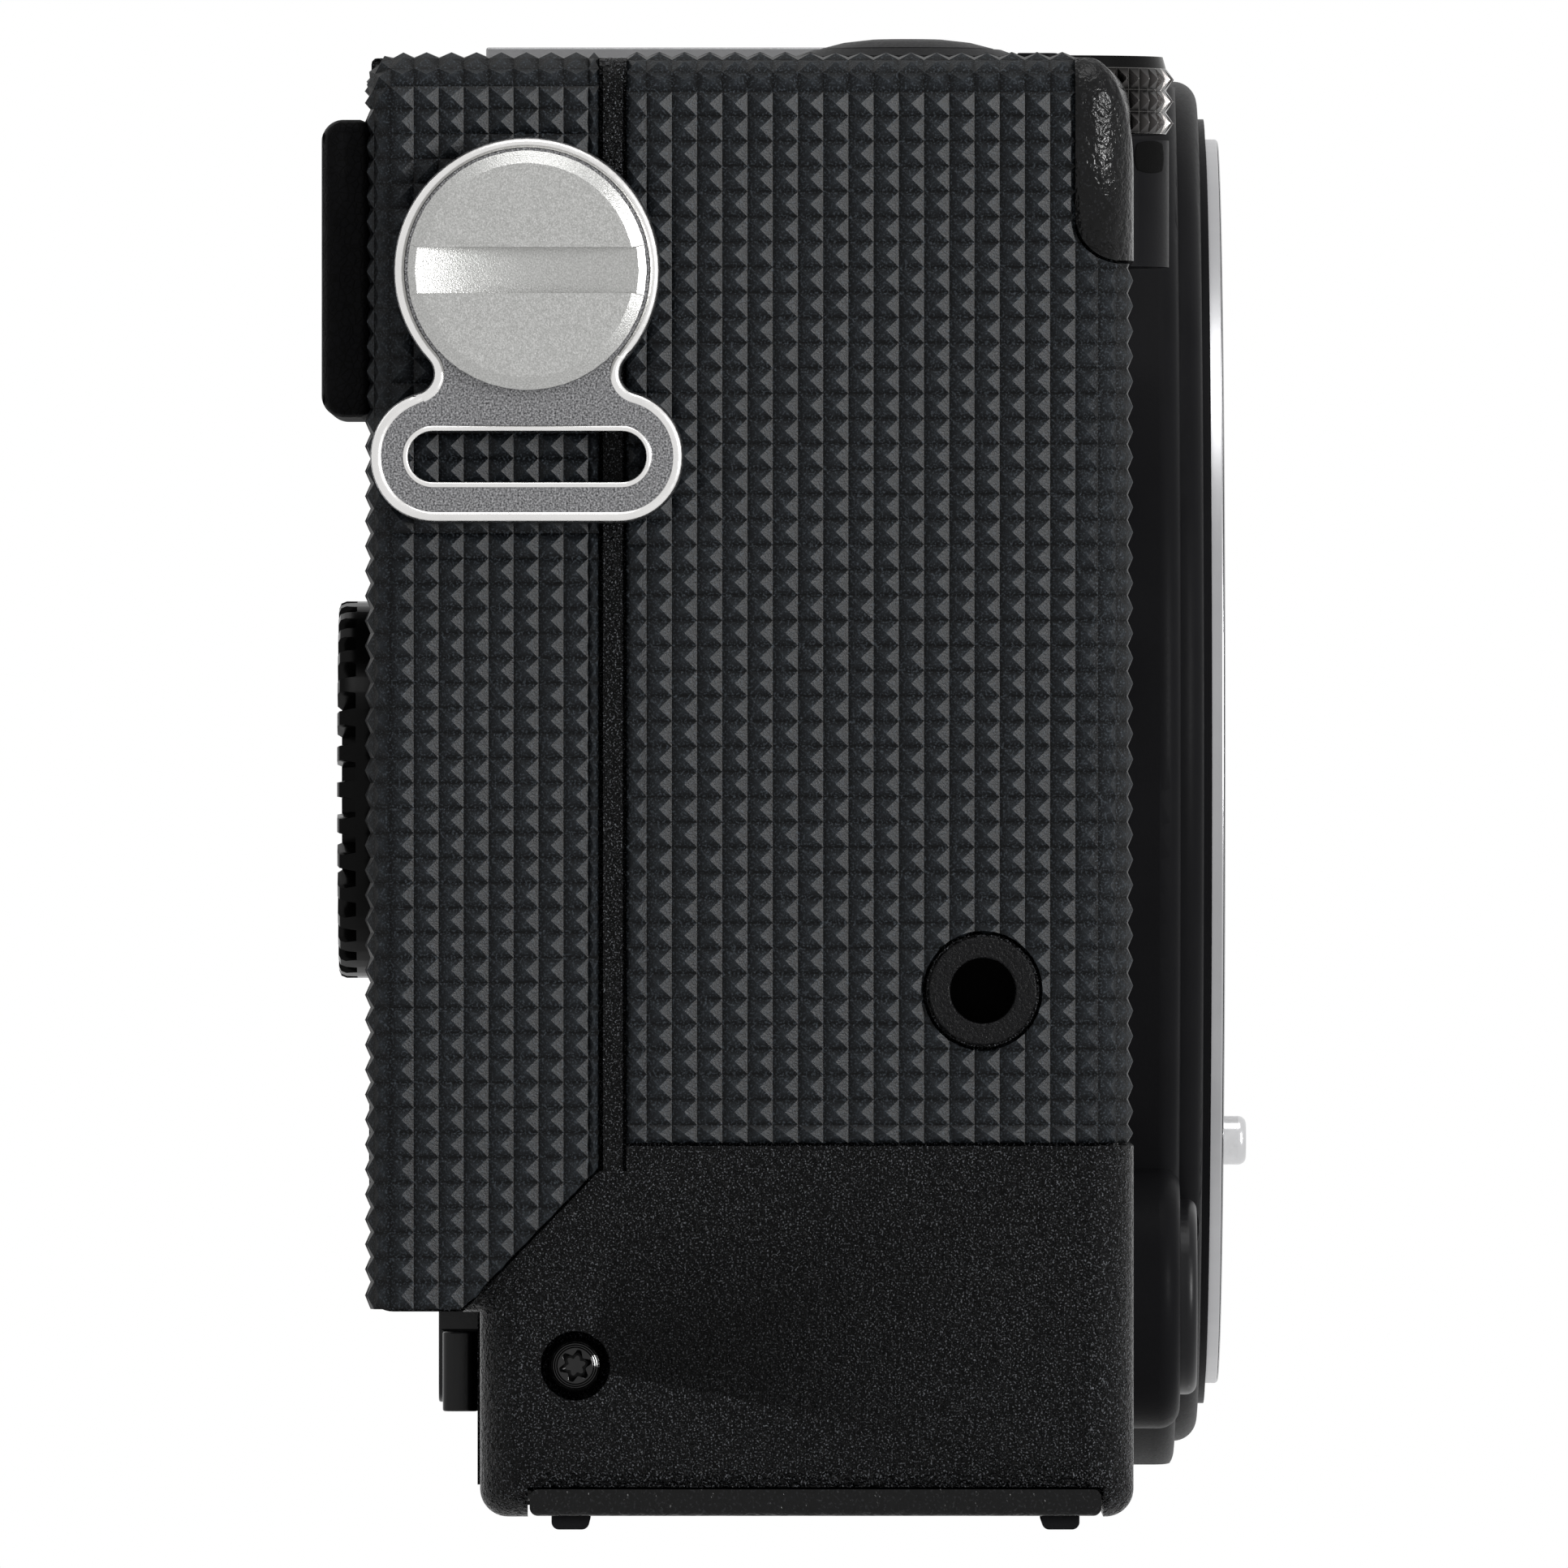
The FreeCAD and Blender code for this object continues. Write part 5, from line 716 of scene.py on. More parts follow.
class StageBuild(bpy.types.Operator):
    """Set the floor, the lamps, the world and the camera"""

    bl_idname = "mirrorless.stage"
    bl_label = "Studio"

    def execute(self, context):
        sizes = context.scene.mirrorless_studio
        scene = context.scene
        scene.view_settings.view_transform = "Standard"
        white = 1.0

        bm = bmesh.new()
        bmesh.ops.create_grid(bm, x_segments=2, y_segments=2, size=6.0)
        floor = add("floor", mesh_of("floor", bm))
        made = Finish(bpy.data.materials.new("floor_paper"))
        tone = tuple(sizes.floor_tone)
        grain = made.noise(2.0)
        made.set(Base_Color=made.mix(grain, tone, dimmed(tone, 0.99)), Roughness=0.9)
        paper = made.node("ShaderNodeEmission", None, {"Color": shade(white), "Strength": 1.0})
        both = made.node("ShaderNodeMixShader", None, {
            0: see_through(made), 1: Wire(made, made.shader.outputs[0]), 2: paper})
        made.join(made.tree.nodes["Material Output"].inputs["Surface"], both)
        floor.data.materials.append(made.data)

        world = bpy.data.worlds.new("studio_air")
        scene.world = world
        air = Finish(world)
        background = air.tree.nodes["Background"]
        where = air.node("ShaderNodeTexCoord", output="Generated")
        height = air.node("ShaderNodeSeparateXYZ", None, {0: where}, output=2)
        soft = air.ramp(air.fit(height, 0.0, 1.0, -1.0, 1.0), (0.0, 0.18), (0.5, 0.22), (1.0, 0.36))
        air.join(background.inputs["Color"], air.mix(see_through(air), soft, white))
        background.inputs["Strength"].default_value = 1.0

        # Name, place, width, height and power in watts
        lamps = (
            ("key_lamp", (-0.82, -0.95, 0.17), 0.14, 0.60, 18.0),
            ("top_lamp", (-0.35, -0.10, 1.20), 0.8, 0.5, 5.0),
            ("back_lamp", (0.75, 0.60, 0.70), 0.7, 0.7, 1.5),
        )
        target = Vector((0.0, 0.0, 35.0 * MM))
        for name, spot, width, tall, power in lamps:
            lamp = bpy.data.lights.new(name, "AREA")
            lamp.shape = "RECTANGLE"
            lamp.size = width
            lamp.size_y = tall
            lamp.energy = power
            item = add(name, lamp)
            item.location = spot
            item.rotation_euler = (target - Vector(spot)).to_track_quat("-Z", "Y").to_euler()

        lens = bpy.data.cameras.new("view")
        lens.lens = sizes.focal
        lens.sensor_width = 36.0
        lens.sensor_fit = "HORIZONTAL"
        lens.clip_end = 20.0
        scene.camera = add("view", lens)
        scene.camera.location = (-sizes.distance, sizes.aim_side, sizes.aim_height)
        scene.camera.rotation_euler = (QUARTER, 0.0, -QUARTER)
        return {"FINISHED"}


class FinishNodes(bpy.types.Operator):
    """Give every CAD node its material"""

    bl_idname = "mirrorless.finish_nodes"
    bl_label = "Finishes of the CAD nodes"

    def execute(self, context):
        for node, name in FINISH_OF.items():
            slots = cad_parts[node].data.materials
            slots.clear()
            slots.append(finish(name))
        return {"FINISHED"}


# Skins

def roll(side, front, back, top, radii, inset):
    """Function that lays a flat side round its edges, a little below its surface."""
    sign = math.copysign(1.0, side)
    upright, over_top = radii

    def place(y, z):
        over = Vector((0.0, y - max(front, min(back, y)), max(0.0, z - top)))
        reach = over.length
        if reach == 0.0:
            return Vector((side - sign * inset, y, z))
        radius = (upright * over.y ** 2 + over_top * over.z ** 2) / reach ** 2
        angle = min(reach / radius, QUARTER)
        past = max(0.0, reach - radius * QUARTER)
        out = over.normalized() * (radius - inset) * math.sin(angle)
        x = side - sign * (inset + (radius - inset) * (1.0 - math.cos(angle)) + past)
        return Vector((x, y - over.y + out.y, z - over.z + out.z))

    return place


def raise_pyramids(bm, height):
    """Poke every face to a tip, and note on each corner how near to a tip it lies, for the painted
    shade and highlights of the finishes.
    """
    worn = bm.verts.layers.float.new("worn")
    tips = bmesh.ops.poke(bm, faces=bm.faces, offset=height, center_mode="MEAN")["verts"]
    for vert in tips:
        vert[worn] = 1.0


def relief(node, bm, sizes, trims):
    """Raise a pyramid on each quad of a skin's sheet, trim it and give it its thickness."""
    raise_pyramids(bm, sizes.height)
    for trim in trims:
        carve(bm, *trim)
    turned_away = 0.45
    for face in bm.faces:
        face.material_index = 1 if abs(face.normal.x) < turned_away else 0
    item = piece(node + "_relief", bm, "skin_rubber", "camera", node)
    item.data.materials.append(finish("skin_edge"))
    thicken(item, sizes.rubber)


class SkinFront(bpy.types.Operator):
    """Lay the front skin round the grip, over the side's top edge and past the brow's corner"""

    bl_idname = "mirrorless.skin_front"
    bl_label = "Front skin"

    def execute(self, context):
        sizes = context.scene.mirrorless_relief
        low, high = NODES["grip_skin_front"]
        pitch, gap, rim = sizes.pitch, sizes.gap, sizes.rim
        arc = rim * QUARTER
        front = low.y + rim
        top = high.z - rim
        columns = lines(front - arc - (high.x - low.x - rim), high.y, pitch, FRONT_GRID[0])
        rows = lines(low.z + gap, top + arc + TOP_WRAP - rim, pitch, FRONT_GRID[1])
        bm = sheet(columns, rows, roll(low.x, front, FAR, top, (rim, rim), sizes.height),
                   from_middle)
        brow = [face for face in bm.faces if face.calc_center_median().y < SHOULDER
                and face.calc_center_median().z > SEAM + BROW + pitch]
        bmesh.ops.delete(bm, geom=brow, context="FACES")
        corner = (SHOULDER - BROW, SEAM + BROW)

        def brow_near(point):
            return point.y < SHOULDER + SAME and point.z > SEAM - pitch

        def brow_gone(point):
            return point.z > SEAM - gap and (
                point.y < corner[0] or point.z > corner[1] or within(point, corner, BROW + gap))

        planes = [plane(Z, SEAM - gap), *round_planes(corner, BROW + gap, 6, -QUARTER, 0.0)]
        relief("grip_skin_front", bm, sizes,
               [(brow_near, planes, brow_gone), hole(SOCKET, SOCKET_HOLE, 32, pitch)])
        return {"FINISHED"}


class SkinRear(bpy.types.Operator):
    """Lay the rear skin round the thumb bulge and over the top edge, with its slanted foot"""

    bl_idname = "mirrorless.skin_rear"
    bl_label = "Rear skin"

    def execute(self, context):
        sizes = context.scene.mirrorless_relief
        low, high = NODES["grip_skin_rear"]
        radii = (sizes.rear_rim, sizes.rim)
        back, top = high.y - sizes.rear_rim, high.z - sizes.rim
        past_back, past_top = [radius * QUARTER + high.x - low.x - radius for radius in radii]
        pitch = sizes.pitch * REAR_SHARE
        columns = lines(low.y, back + past_back, pitch, REAR_GRID[0])
        rows = lines(low.z + sizes.gap, top + past_top, pitch, REAR_GRID[1])
        bm = sheet(columns, rows, roll(low.x, -FAR, back, top, radii, sizes.height), from_middle)
        start, end = [Vector((0.0, *place)) for place in SLANT]
        across = Vector((0.0, -(end - start).z, (end - start).y)).normalized()
        start += across * sizes.gap
        relief("grip_skin_rear", bm, sizes, [
            (lambda point: True, [plane(X, high.x)], lambda point: point.x > high.x),
            (lambda point: point.z < SLANT[0][1] + 2.0 * MM, [(start, across)],
             lambda point: (point - start).dot(across) < 0.0),
            hole(STUD_RIGHT, STUD_HOLE, 24, sizes.pitch),
        ])
        return {"FINISHED"}


class SkinLeft(bpy.types.Operator):
    """Lay the skin of the left end, with the port door in its window"""

    bl_idname = "mirrorless.skin_left"
    bl_label = "Left skin"

    def execute(self, context):
        sizes = context.scene.mirrorless_relief
        low, high = NODES["left_skin"]
        door_low, door_high = NODES["port_door"]
        pitch, rim = sizes.pitch, sizes.rim
        front = low.y + rim
        columns = lines(front - rim * QUARTER - (high.x - low.x - rim), high.y, pitch,
                        FRONT_GRID[0])
        lay = roll(high.x, front, FAR, FAR, (rim, rim), sizes.height)
        bm = sheet(columns, lines(low.z, high.z, pitch, low.z), lay, from_middle)
        gap = 0.1 * MM
        sides = (door_low.y - gap, door_high.y + gap)
        top = door_high.z + gap

        def window_near(point):
            flat, half, over = 1.0 * MM, 8.0 * MM, 2.0 * MM
            return point.x > high.x - flat and abs(point.y) < half and point.z < top + over

        planes = [*[plane(Y, side) for side in sides], plane(Z, top)]
        relief("left_skin", bm, sizes, [
            (window_near, planes,
             lambda point: sides[0] < point.y < sides[1] and point.z < top),
            hole(STUD_LEFT, STUD_HOLE, 24, pitch),
        ])

        columns = lines(door_low.y, door_high.y, pitch, FRONT_GRID[0])
        bm = sheet(columns, lines(low.z, door_high.z, pitch, low.z), lay, from_middle)
        raise_pyramids(bm, sizes.height)
        item = piece("port_door_relief", bm, "skin_rubber", "port_flap", "port_door")
        thicken(item, door_high.x - door_low.x - sizes.height)

        bm = bmesh.new()
        bmesh.ops.create_cube(bm, size=1.0)
        foot = Vector((door_high.x - door_low.x, door_high.y - door_low.y, low.z - door_low.z))
        bmesh.ops.scale(bm, verts=bm.verts, vec=foot)
        bmesh.ops.translate(bm, verts=bm.verts, vec=door_low + foot / 2)
        edges = [edge for edge in bm.edges
                 if all(vert.co.x > door_high.x - gap for vert in edge.verts)]
        bmesh.ops.bevel(bm, geom=edges, offset=0.2 * MM, affect="EDGES", segments=2,
                        profile=0.5, material=-1)
        piece("port_door_foot", bm, "shell_paint", "port_flap", smooth=35.0)
        return {"FINISHED"}


# Covers and controls

SMOOTH = 32.0  # Sharpest edge in degrees that is shaded smooth
STRIP = 0.35 * MM  # The strips beside the skins stand less than this too high


class Covers(bpy.types.Operator):
    """Lower the end frame and the back cover to the foot of the pyramids beside them"""

    bl_idname = "mirrorless.covers"
    bl_label = "End frame and back cover"

    def execute(self, context):
        for node in ("grip_end_frame", "rear_cover"):
            bm = merged(node)
            lower(bm, Y, BACK, STRIP)
            if node == "grip_end_frame":
                lower(bm, Z, COVER_TOP, STRIP)
            piece(node + "_dressed", bm, FINISH_OF[node], "camera", node, smooth=SMOOTH)
        return {"FINISHED"}


class Brow(bpy.types.Operator):
    """Round the top cover's brow away from the front dial in a long curve"""

    bl_idname = "mirrorless.brow"
    bl_label = "Brow"

    def execute(self, context):
        sizes = context.scene.mirrorless_brow
        bm = merged("top_cover")
        foot = COVER_TOP - sizes.rise
        front = NODES["grip_end_frame"][0].y
        cuts = 10
        for step in range(cuts):
            level = foot + sizes.rise * (step + 0.5) / cuts
            faces = [face for face in bm.faces
                     if face.calc_center_median().y < SHOULDER + 1.0 * MM]
            split(bm, faces, *plane(Z, level))
        for vert in bm.verts:
            part = (vert.co.z - foot) / sizes.rise
            if 0.0 < part <= 1.001 and vert.co.y < SHOULDER and vert.co.x < GRIP_SIDE:
                curve = sizes.set_back * (1.0 - math.sqrt(max(0.0, 1.0 - part ** 2)))
                vert.co.y = max(vert.co.y, front + curve)
        lower(bm, Y, BACK, STRIP)
        dial = middle_of("front_dial")
        dial_foot = NODES["front_dial"][0].z
        for face in bm.faces:
            place = face.calc_center_median()
            if math.hypot(*(place - dial).xy) < POST + 0.1 * MM and place.z < dial_foot:
                face.material_index = 1
        item = piece("top_cover_dressed", bm, "cover_paint", "camera", "top_cover", smooth=SMOOTH)
        item.data.materials.append(finish("tower_paint"))
        return {"FINISHED"}


class Hardware(bpy.types.Operator):
    """Break the edges of the metal parts and the controls"""

    bl_idname = "mirrorless.hardware"
    bl_label = "Broken edges"

    def execute(self, context):
        for node, (body, width) in BROKEN_EDGES.items():
            bm = merged(node)
            if node in ("menu_button", "playback_button"):
                lower(bm, Y, BACK + 0.15 * MM, 1.0 * MM)
            if node == "thumb_rest":
                for vert in bm.verts:
                    if vert.co.y < NODES[node][0].y + 0.01 * MM:
                        vert.co.y = BACK
            item = piece(node + "_dressed", bm, FINISH_OF[node], body, node, smooth=SMOOTH)
            edge = item.modifiers.new("broken_edge", "BEVEL")
            edge.width = width * MM
            edge.segments = 2
            edge.limit_method = "ANGLE"
            edge.angle_limit = math.radians(40.0)
            edge.harden_normals = True
        return {"FINISHED"}


def outlines(bm, test):
    """Closed loops between the faces that pass a test and the others, the longest first."""
    ends = {}
    for edge in bm.edges:
        if len({test(face) for face in edge.link_faces}) == 2:
            for vert, other in (edge.verts, reversed(edge.verts)):
                ends.setdefault(vert, []).append(other)
    loops = []
    while ends:
        here = next(iter(ends))
        loop = [here]
        while True:
            onward = [vert for vert in ends.pop(here) if vert in ends]
            if not onward:
                break
            here = onward[0]
            loop.append(here)
        loops.append([vert.co.copy() for vert in loop])
    loops.sort(key=lambda loop: -sum((one - other).length for one, other in zip(loop, loop[1:])))
    return loops


def pour(bm, curve, turn=Matrix()):
    """Add the mesh of a curve or a text to a bmesh."""
    item = bpy.data.objects.new(curve.name, curve)
    mesh = bpy.data.meshes.new_from_object(item)
    mesh.transform(turn)
    bm.from_mesh(mesh)
    bpy.data.objects.remove(item)
    bpy.data.meshes.remove(mesh)


def bead(bm, path, radius, depth):
    """Add a closed round bead, its middle a depth under its path towards X = 0."""
    curve = bpy.data.curves.new("bead", "CURVE")
    curve.dimensions = "3D"
    curve.bevel_depth = radius
    curve.bevel_resolution = 3
    spline = curve.splines.new("POLY")
    spline.points.add(len(path) - 1)
    spline.use_cyclic_u = True
    for point, place in zip(spline.points, path):
        point.co = (place.x - math.copysign(depth, place.x), place.y, place.z, 1.0)
    pour(bm, curve)


class LugPlates(bpy.types.Operator):
    """Run polished beads round the outline and the slot of each strap plate"""

    bl_idname = "mirrorless.lug_plates"
    bl_label = "Strap plates"

    def execute(self, context):
        sizes = context.scene.mirrorless_lug
        for side in ("right", "left"):
            node = "strap_plate_" + side
            low, high = NODES[node]
            face_x = high.x if high.x > 0 else low.x
            plate = copied(node)
            rim, slot = outlines(plate, lambda face: all(
                abs(vert.co.x - face_x) < SAME for vert in face.verts))[:2]
            plate.free()
            bm = bmesh.new()
            for path, radius in ((rim, sizes.bead), (slot, sizes.slot_bead)):
                bead(bm, path, radius, radius - sizes.proud)
            merge(bm)
            face_outward(bm)
            piece(node + "_beads", bm, "lug_rim", "strap_lug_" + side, smooth=60.0)
        return {"FINISHED"}


class CoinLocks(bpy.types.Operator):
    """Cut the coin screws: a chamfered disc with a slot whose floor is milled hollow"""

    bl_idname = "mirrorless.coin_locks"
    bl_label = "Coin screws"

    def execute(self, context):
        sizes = context.scene.mirrorless_coin
        slope = 0.34 * MM  # Depth of the chamfer
        foot = 1.2 * MM  # Thickness of the disc
        post = 1.6 * MM  # Radius of the screw behind it
        run_out = sizes.chamfer * 0.4  # How far the slot runs into the chamfer
        slot_end = sizes.chamfer * 0.3  # Depth of the slot at its ends
        half = sizes.slot / 2
        columns = [math.sin(math.radians(angle)) for angle in range(-90, 91, 10)]
        for side in ("right", "left"):
            node = "coin_screw_" + side
            low, high = NODES[node]
            middle = middle_of(node)
            sign = math.copysign(1.0, middle.x)
            axis = Vector((sign, 0.0, 0.0))
            face_x = high.x if sign > 0 else low.x
            radius = (high.y - low.y) / 2
            face = radius - sizes.chamfer
            heights = [face * math.sin(math.radians(angle)) for angle in range(16, 81, 8)]
            heights.append(0.999 * face)
            rows = [*[(-height, 0) for height in reversed(heights)],
                    (-half, 0), (-half, 1), (0.0, 1), (half, 1), (half, 0),
                    *[(height, 0) for height in heights]]

            def lay(column, row):
                height, sunk = row
                reach = face + sunk * run_out
                y = column * math.sqrt(reach ** 2 - height ** 2)
                depth = sunk * (slot_end + sizes.hollow * (1.0 - (y / reach) ** 2))
                return Vector((face_x - sign * depth, middle.y + y, middle.z + height))

            bm = sheet(columns, rows, lay, lambda point: axis)
            rim = taper(bm, open_edges(bm), (face_x, middle.y, middle.z), axis, (
                (-slope, radius), (-foot, radius), (-foot, post), (low.x - high.x, post)))
            bmesh.ops.edgeloop_fill(bm, edges=rim)
            merge(bm)
            piece(node + "_milled", bm, "coin_steel", "coin_lock_" + side, node, smooth=20.0)
        return {"FINISHED"}


# Screws

LOBES = (6, 0.20)  # How many, and how deep as a share of the radius
SOFT_LOBES = (6, 0.08)


def islands(node):
    """Low and high corners of each solid of a CAD node."""
    bm = merged(node)
    found, seen = [], set()
    for start in bm.verts:
        if start in seen:
            continue
        group, front = [], [start]
        seen.add(start)
        while front:
            vert = front.pop()
            group.append(vert.co.copy())
            for edge in vert.link_edges:
                other = edge.other_vert(vert)
                if other not in seen:
                    seen.add(other)
                    front.append(other)
        found.append([Vector([pick(place[axis] for place in group) for axis in range(3)])
                      for pick in (min, max)])
    bm.free()
    return found


def screw_head(bm, middle, axis, depth, size, steps):
    """Add a screw whose head has a six-lobe socket, and carry its rim through further steps."""
    made = bmesh.ops.create_circle(bm, segments=96, radius=0.08 * size, cap_ends=True)["verts"]
    turn = Vector((0.0, 0.0, 1.0)).rotation_difference(axis).to_matrix()
    bmesh.ops.rotate(bm, verts=made, matrix=turn)
    bmesh.ops.translate(bm, verts=made, vec=middle - axis * depth)
    inside = set(made)
    rim = [edge for edge in open_edges(bm) if edge.verts[0] in inside]
    rim = taper(bm, rim, middle, axis, (
        (-0.97 * depth, 0.64 * size, LOBES), (-0.22 * depth, 0.90 * size, LOBES),
        (-0.05 * depth, size, LOBES), (0.0, 1.13 * size, SOFT_LOBES), (0.0, 1.26 * size),
        *steps))
    bmesh.ops.edgeloop_fill(bm, edges=rim)


class CaseScrew(bpy.types.Operator):
    """Turn the case screw's ringed head and press its six-lobe socket"""

    bl_idname = "mirrorless.case_screw"
    bl_label = "Case screw"

    def execute(self, context):
        low, high = NODES["case_screws"]
        middle = middle_of("case_screws")
        middle.x = low.x
        radius = (high.y - low.y) / 2
        socket = 0.62 * MM  # Its radius and its depth
        thick = 0.8 * MM  # Thickness of the head
        shank = 0.6 * MM
        rings = []
        for step in range(4):
            start = 0.80 * MM + step * 0.10 * MM
            drop = step * 0.02 * MM
            rings += [(-0.02 * MM - drop, start + 0.02 * MM),
                      (-0.09 * MM - drop, start + 0.05 * MM),
                      (-0.02 * MM - drop, start + 0.08 * MM)]
        bm = bmesh.new()
        screw_head(bm, middle, Vector((-1.0, 0.0, 0.0)), socket, socket, (
            *rings, (-0.12 * MM, radius - 0.04 * MM), (-0.24 * MM, radius), (-thick, radius),
            (-thick, shank), (low.x - high.x, shank)))
        face_outward(bm)
        piece("case_screw_head", bm, "screw_black", "camera", "case_screws", smooth=35.0)
        return {"FINISHED"}


class FlangeScrews(bpy.types.Operator):
    """Press six-lobe sockets into the flange's screws"""

    bl_idname = "mirrorless.flange_screws"
    bl_label = "Flange screws"

    def execute(self, context):
        bm = bmesh.new()
        for low, high in islands("mount_screws"):
            middle = (low + high) / 2
            middle.y = low.y
            radius = (high.x - low.x) / 2
            depth = high.y - low.y
            socket = min(0.5 * MM, 0.6 * depth)
            screw_head(bm, middle, Vector((0.0, -1.0, 0.0)), socket, 0.52 * radius, (
                (-0.02 * MM, 0.85 * radius), (-0.12 * MM, radius), (-depth, radius)))
        face_outward(bm)
        piece("mount_screw_heads", bm, "screw_steel", "camera", "mount_screws", smooth=35.0)
        return {"FINISHED"}


# Dials

def knurled(name, node, body, count, tiers, height, chamfer, dish):
    """Dial about an upright axis: tiers of pyramids, a chamfer and a dished black top."""
    low, high = NODES[node]
    middle = middle_of(node)
    core = (high.x - low.x) / 2 - height
    shoulder = high.z - chamfer
    columns = [step / count for step in range(count + 1)]
    rows = [low.z + (shoulder - low.z) * step / tiers for step in range(tiers + 1)]

    def lay(turn, z):
        angle = turn * FULL
        return Vector((middle.x + core * math.cos(angle), middle.y + core * math.sin(angle), z))

    bm = sheet(columns, rows, lay, lambda point: (point - middle) * Vector((1.0, 1.0, 0.0)))
    merge(bm)
    raise_pyramids(bm, height)
    knurl = set(bm.faces)
    # Way up and radius of each step
    cap = ((0.0, core), (chamfer, core - 0.15 * MM), (chamfer, core - 1.2 * MM),
           (chamfer - dish, core - 1.4 * MM))
    foot = ((0.0, core - 0.5 * MM),)
    for level, steps in ((shoulder, cap), (low.z, foot)):
        rim = [edge for edge in open_edges(bm)
               if all(abs(vert.co.z - level) < SAME for vert in edge.verts)]
        rim = taper(bm, rim, (middle.x, middle.y, level), Vector((0.0, 0.0, 1.0)), steps)
        bmesh.ops.edgeloop_fill(bm, edges=rim)
    for face in bm.faces:
        face.material_index = 0 if face in knurl else 1
        face.smooth = face not in knurl
    face_outward(bm)
    for edge in bm.edges:
        edge.smooth = edge.calc_face_angle(0.0) < math.radians(30.0)
    item = piece(name, bm, "knurl_metal", body, node)
    item.data.materials.append(finish("control_black"))


class FrontDial(bpy.types.Operator):
    """Knurl the front dial in three tiers under a chamfered top"""

    bl_idname = "mirrorless.front_dial"
    bl_label = "Front dial"

    def execute(self, context):
        knurled("front_dial_knurl", "front_dial", "front_command_dial", count=46, tiers=3,
                height=0.38 * MM, chamfer=0.55 * MM, dish=0.15 * MM)
        return {"FINISHED"}


class DialWindow(bpy.types.Operator):
    """Lay a thin dark sheet over the small recess in the post under the front dial, as its painted
    shade
    """

    bl_idname = "mirrorless.dial_window"
    bl_label = "Window under the front dial"

    def execute(self, context):
        middle = middle_of("front_dial")
        dial_foot = NODES["front_dial"][0].z
        start, end = math.radians(42.0), math.radians(71.0)
        foot, top = dial_foot - 1.85 * MM, dial_foot - 0.35 * MM
        reach = POST + 0.02 * MM
        squeeze = 0.3  # How much the corners are drawn in
        steps = [step / 8 - 1.0 for step in range(17)]

        def lay(column, row):
            round_column = column * math.sqrt(1.0 - squeeze * row ** 2)
            round_row = row * math.sqrt(1.0 - squeeze * column ** 2)
            angle = (start + end) / 2 + round_column * (end - start) / 2
            return Vector((middle.x - reach * math.cos(angle), middle.y - reach * math.sin(angle),
                           (foot + top) / 2 + round_row * (top - foot) / 2))

        bm = sheet(steps, steps, lay, lambda point: point - middle)
        # Painted shade: a dark sheet where the recess's shadow falls
        item = piece("dial_window", bm, "inner_black", "camera", smooth=30.0)
        thicken(item, 0.2 * MM)
        return {"FINISHED"}


class ModeDial(bpy.types.Operator):
    """Knurl the mode dial and number its top"""

    bl_idname = "mirrorless.mode_dial"
    bl_label = "Mode dial"

    def execute(self, context):
        sizes = context.scene.mirrorless_mode
        dish = 0.08 * MM
        knurled("mode_dial_knurl", "mode_dial", "mode_selector", count=72, tiers=1,
                height=0.26 * MM, chamfer=0.35 * MM, dish=dish)
        middle = middle_of("mode_dial")
        thick = 0.02 * MM
        middle.z = NODES["mode_dial"][1].z - dish + thick
        bm = bmesh.new()
        for number in range(1, sizes.count + 1):
            curve = bpy.data.curves.new("numeral", "FONT")
            curve.body = str(number)
            curve.size = sizes.size
            curve.extrude = thick
            curve.align_x = "CENTER"
            curve.align_y = "CENTER"
            turn = Matrix.Rotation(FULL * number / sizes.count - QUARTER, 4, "Z")
            out = Matrix.Translation((0.0, sizes.ring, 0.0))
            pour(bm, curve, Matrix.Translation(middle) @ turn @ out)
        bmesh.ops.remove_doubles(bm, verts=bm.verts, dist=FINE)
        piece("mode_dial_numbers", bm, "numeral_white", "mode_selector")
        return {"FINISHED"}


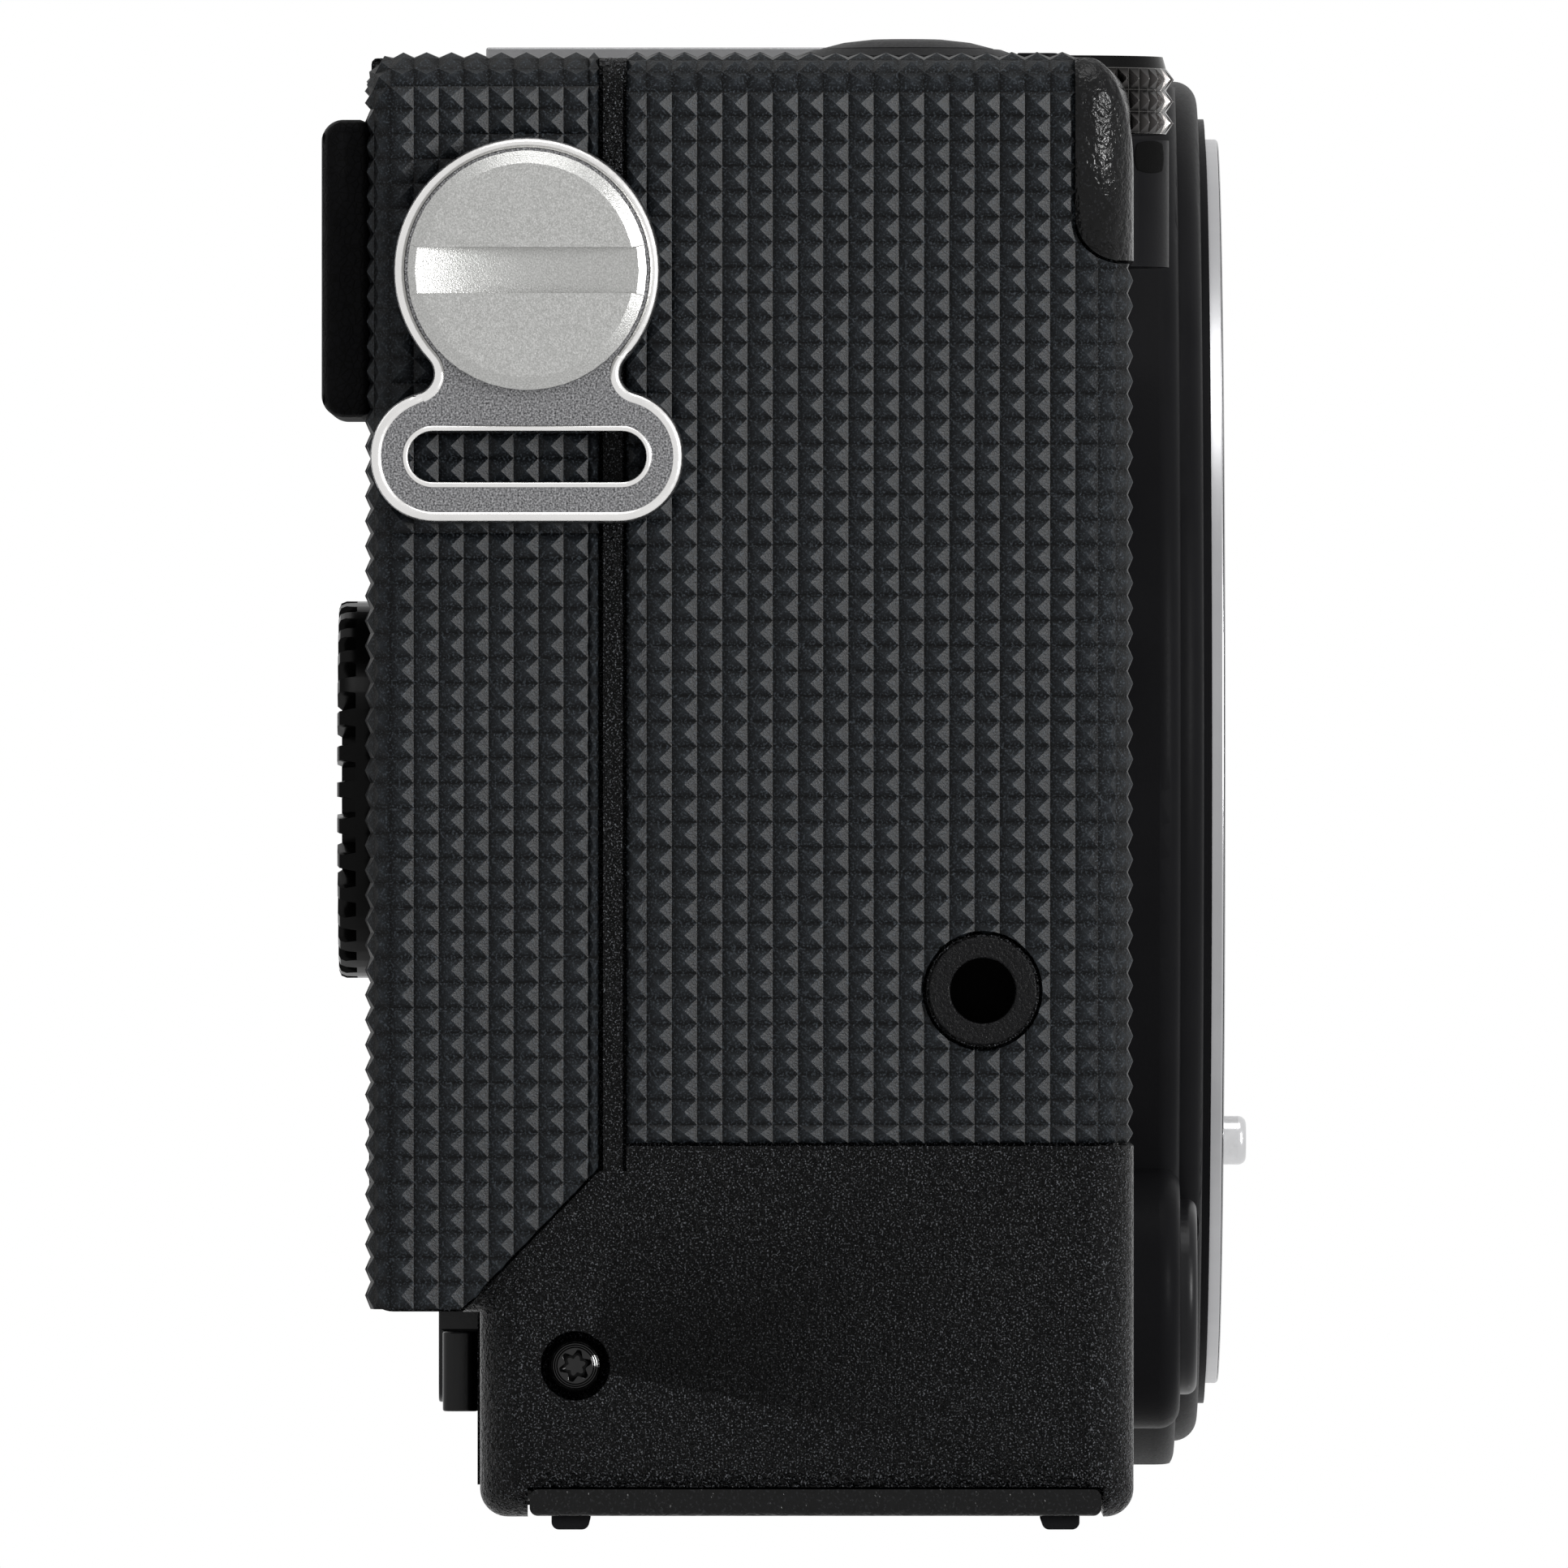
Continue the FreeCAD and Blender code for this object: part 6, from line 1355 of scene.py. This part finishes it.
class RearDial(bpy.types.Operator):
    """Cut the rear dial's rounded castle teeth"""

    bl_idname = "mirrorless.rear_dial"
    bl_label = "Rear dial"

    def execute(self, context):
        low, high = NODES["rear_dial"]
        middle = middle_of("rear_dial")
        radius = (high.x - low.x) / 2
        bore = radius - 2.1 * MM
        gap_floor = high.y - 0.85 * MM
        teeth = 32
        # Part of a tooth's pitch, and how far the rim is sunk there
        wave = ((0.20, 0.0), (0.23, 0.3), (0.27, 1.0), (0.73, 1.0), (0.77, 0.3), (0.80, 0.0))
        columns = [((tooth + part) / teeth, sunk) for tooth in range(teeth) for part, sunk in wave]
        columns.append((1.0 + wave[0][0] / teeth, 0.0))
        # Radius, Y and whether the teeth reach this ring
        rows = [
            (bore, low.y, False), (radius - 0.3 * MM, low.y, False),
            (radius, low.y + 0.3 * MM, False), (radius, high.y - 1.1 * MM, False),
            (radius, high.y - 0.9 * MM, True), (radius, high.y - 0.35 * MM, True),
            (radius - 0.1 * MM, high.y - 0.1 * MM, True), (radius - 0.35 * MM, high.y, True),
            (bore + 0.7 * MM, high.y, True), (bore + 0.45 * MM, high.y - 0.2 * MM, False),
            (bore, high.y - 0.6 * MM, False), (bore, low.y, False),
        ]

        def lay(column, row):
            turn, sunk = column
            reach, y, toothed = row
            angle = turn * FULL
            if toothed:
                y = min(y, y + (gap_floor - y) * sunk)
            return Vector((middle.x + reach * math.cos(angle), y,
                           middle.z + reach * math.sin(angle)))

        bm = sheet(columns, rows, lay, lambda point: (point - middle) * Vector((1.0, 0.0, 1.0)))
        merge(bm)
        face_outward(bm)
        piece("rear_dial_teeth", bm, "control_black", "rear_wheel", "rear_dial", smooth=40.0)
        return {"FINISHED"}


class StudioPanel(bpy.types.Panel):
    """Sizes and steps of the dressing"""

    bl_idname = "MIRRORLESS_PT_panel"
    bl_label = "Mirrorless camera"
    bl_space_type = "VIEW_3D"
    bl_region_type = "UI"
    bl_category = "Camera"

    def draw(self, context):
        for name, group in GROUPS.items():
            column = self.layout.column(align=True)
            for size in group.__annotations__:
                column.prop(getattr(context.scene, name), size)
        for step in STEPS:
            self.layout.operator(step.bl_idname)


STEPS = (StageBuild, FinishNodes, SkinFront, SkinRear, SkinLeft, Covers, Brow, Hardware,
         LugPlates, CoinLocks, CaseScrew, FlangeScrews, FrontDial, DialWindow, ModeDial, RearDial)
CLASSES = (*GROUPS.values(), *STEPS, StudioPanel)


def register():
    for entry in CLASSES:
        bpy.utils.register_class(entry)
    for name, group in GROUPS.items():
        setattr(bpy.types.Scene, name, bpy.props.PointerProperty(type=group))


def unregister():
    for name in reversed(GROUPS):
        delattr(bpy.types.Scene, name)
    for entry in reversed(CLASSES):
        bpy.utils.unregister_class(entry)


def main():
    register()
    for step in STEPS:
        group, name = step.bl_idname.split(".")
        getattr(getattr(bpy.ops, group), name)()


if __name__ == "__main__":
    main()
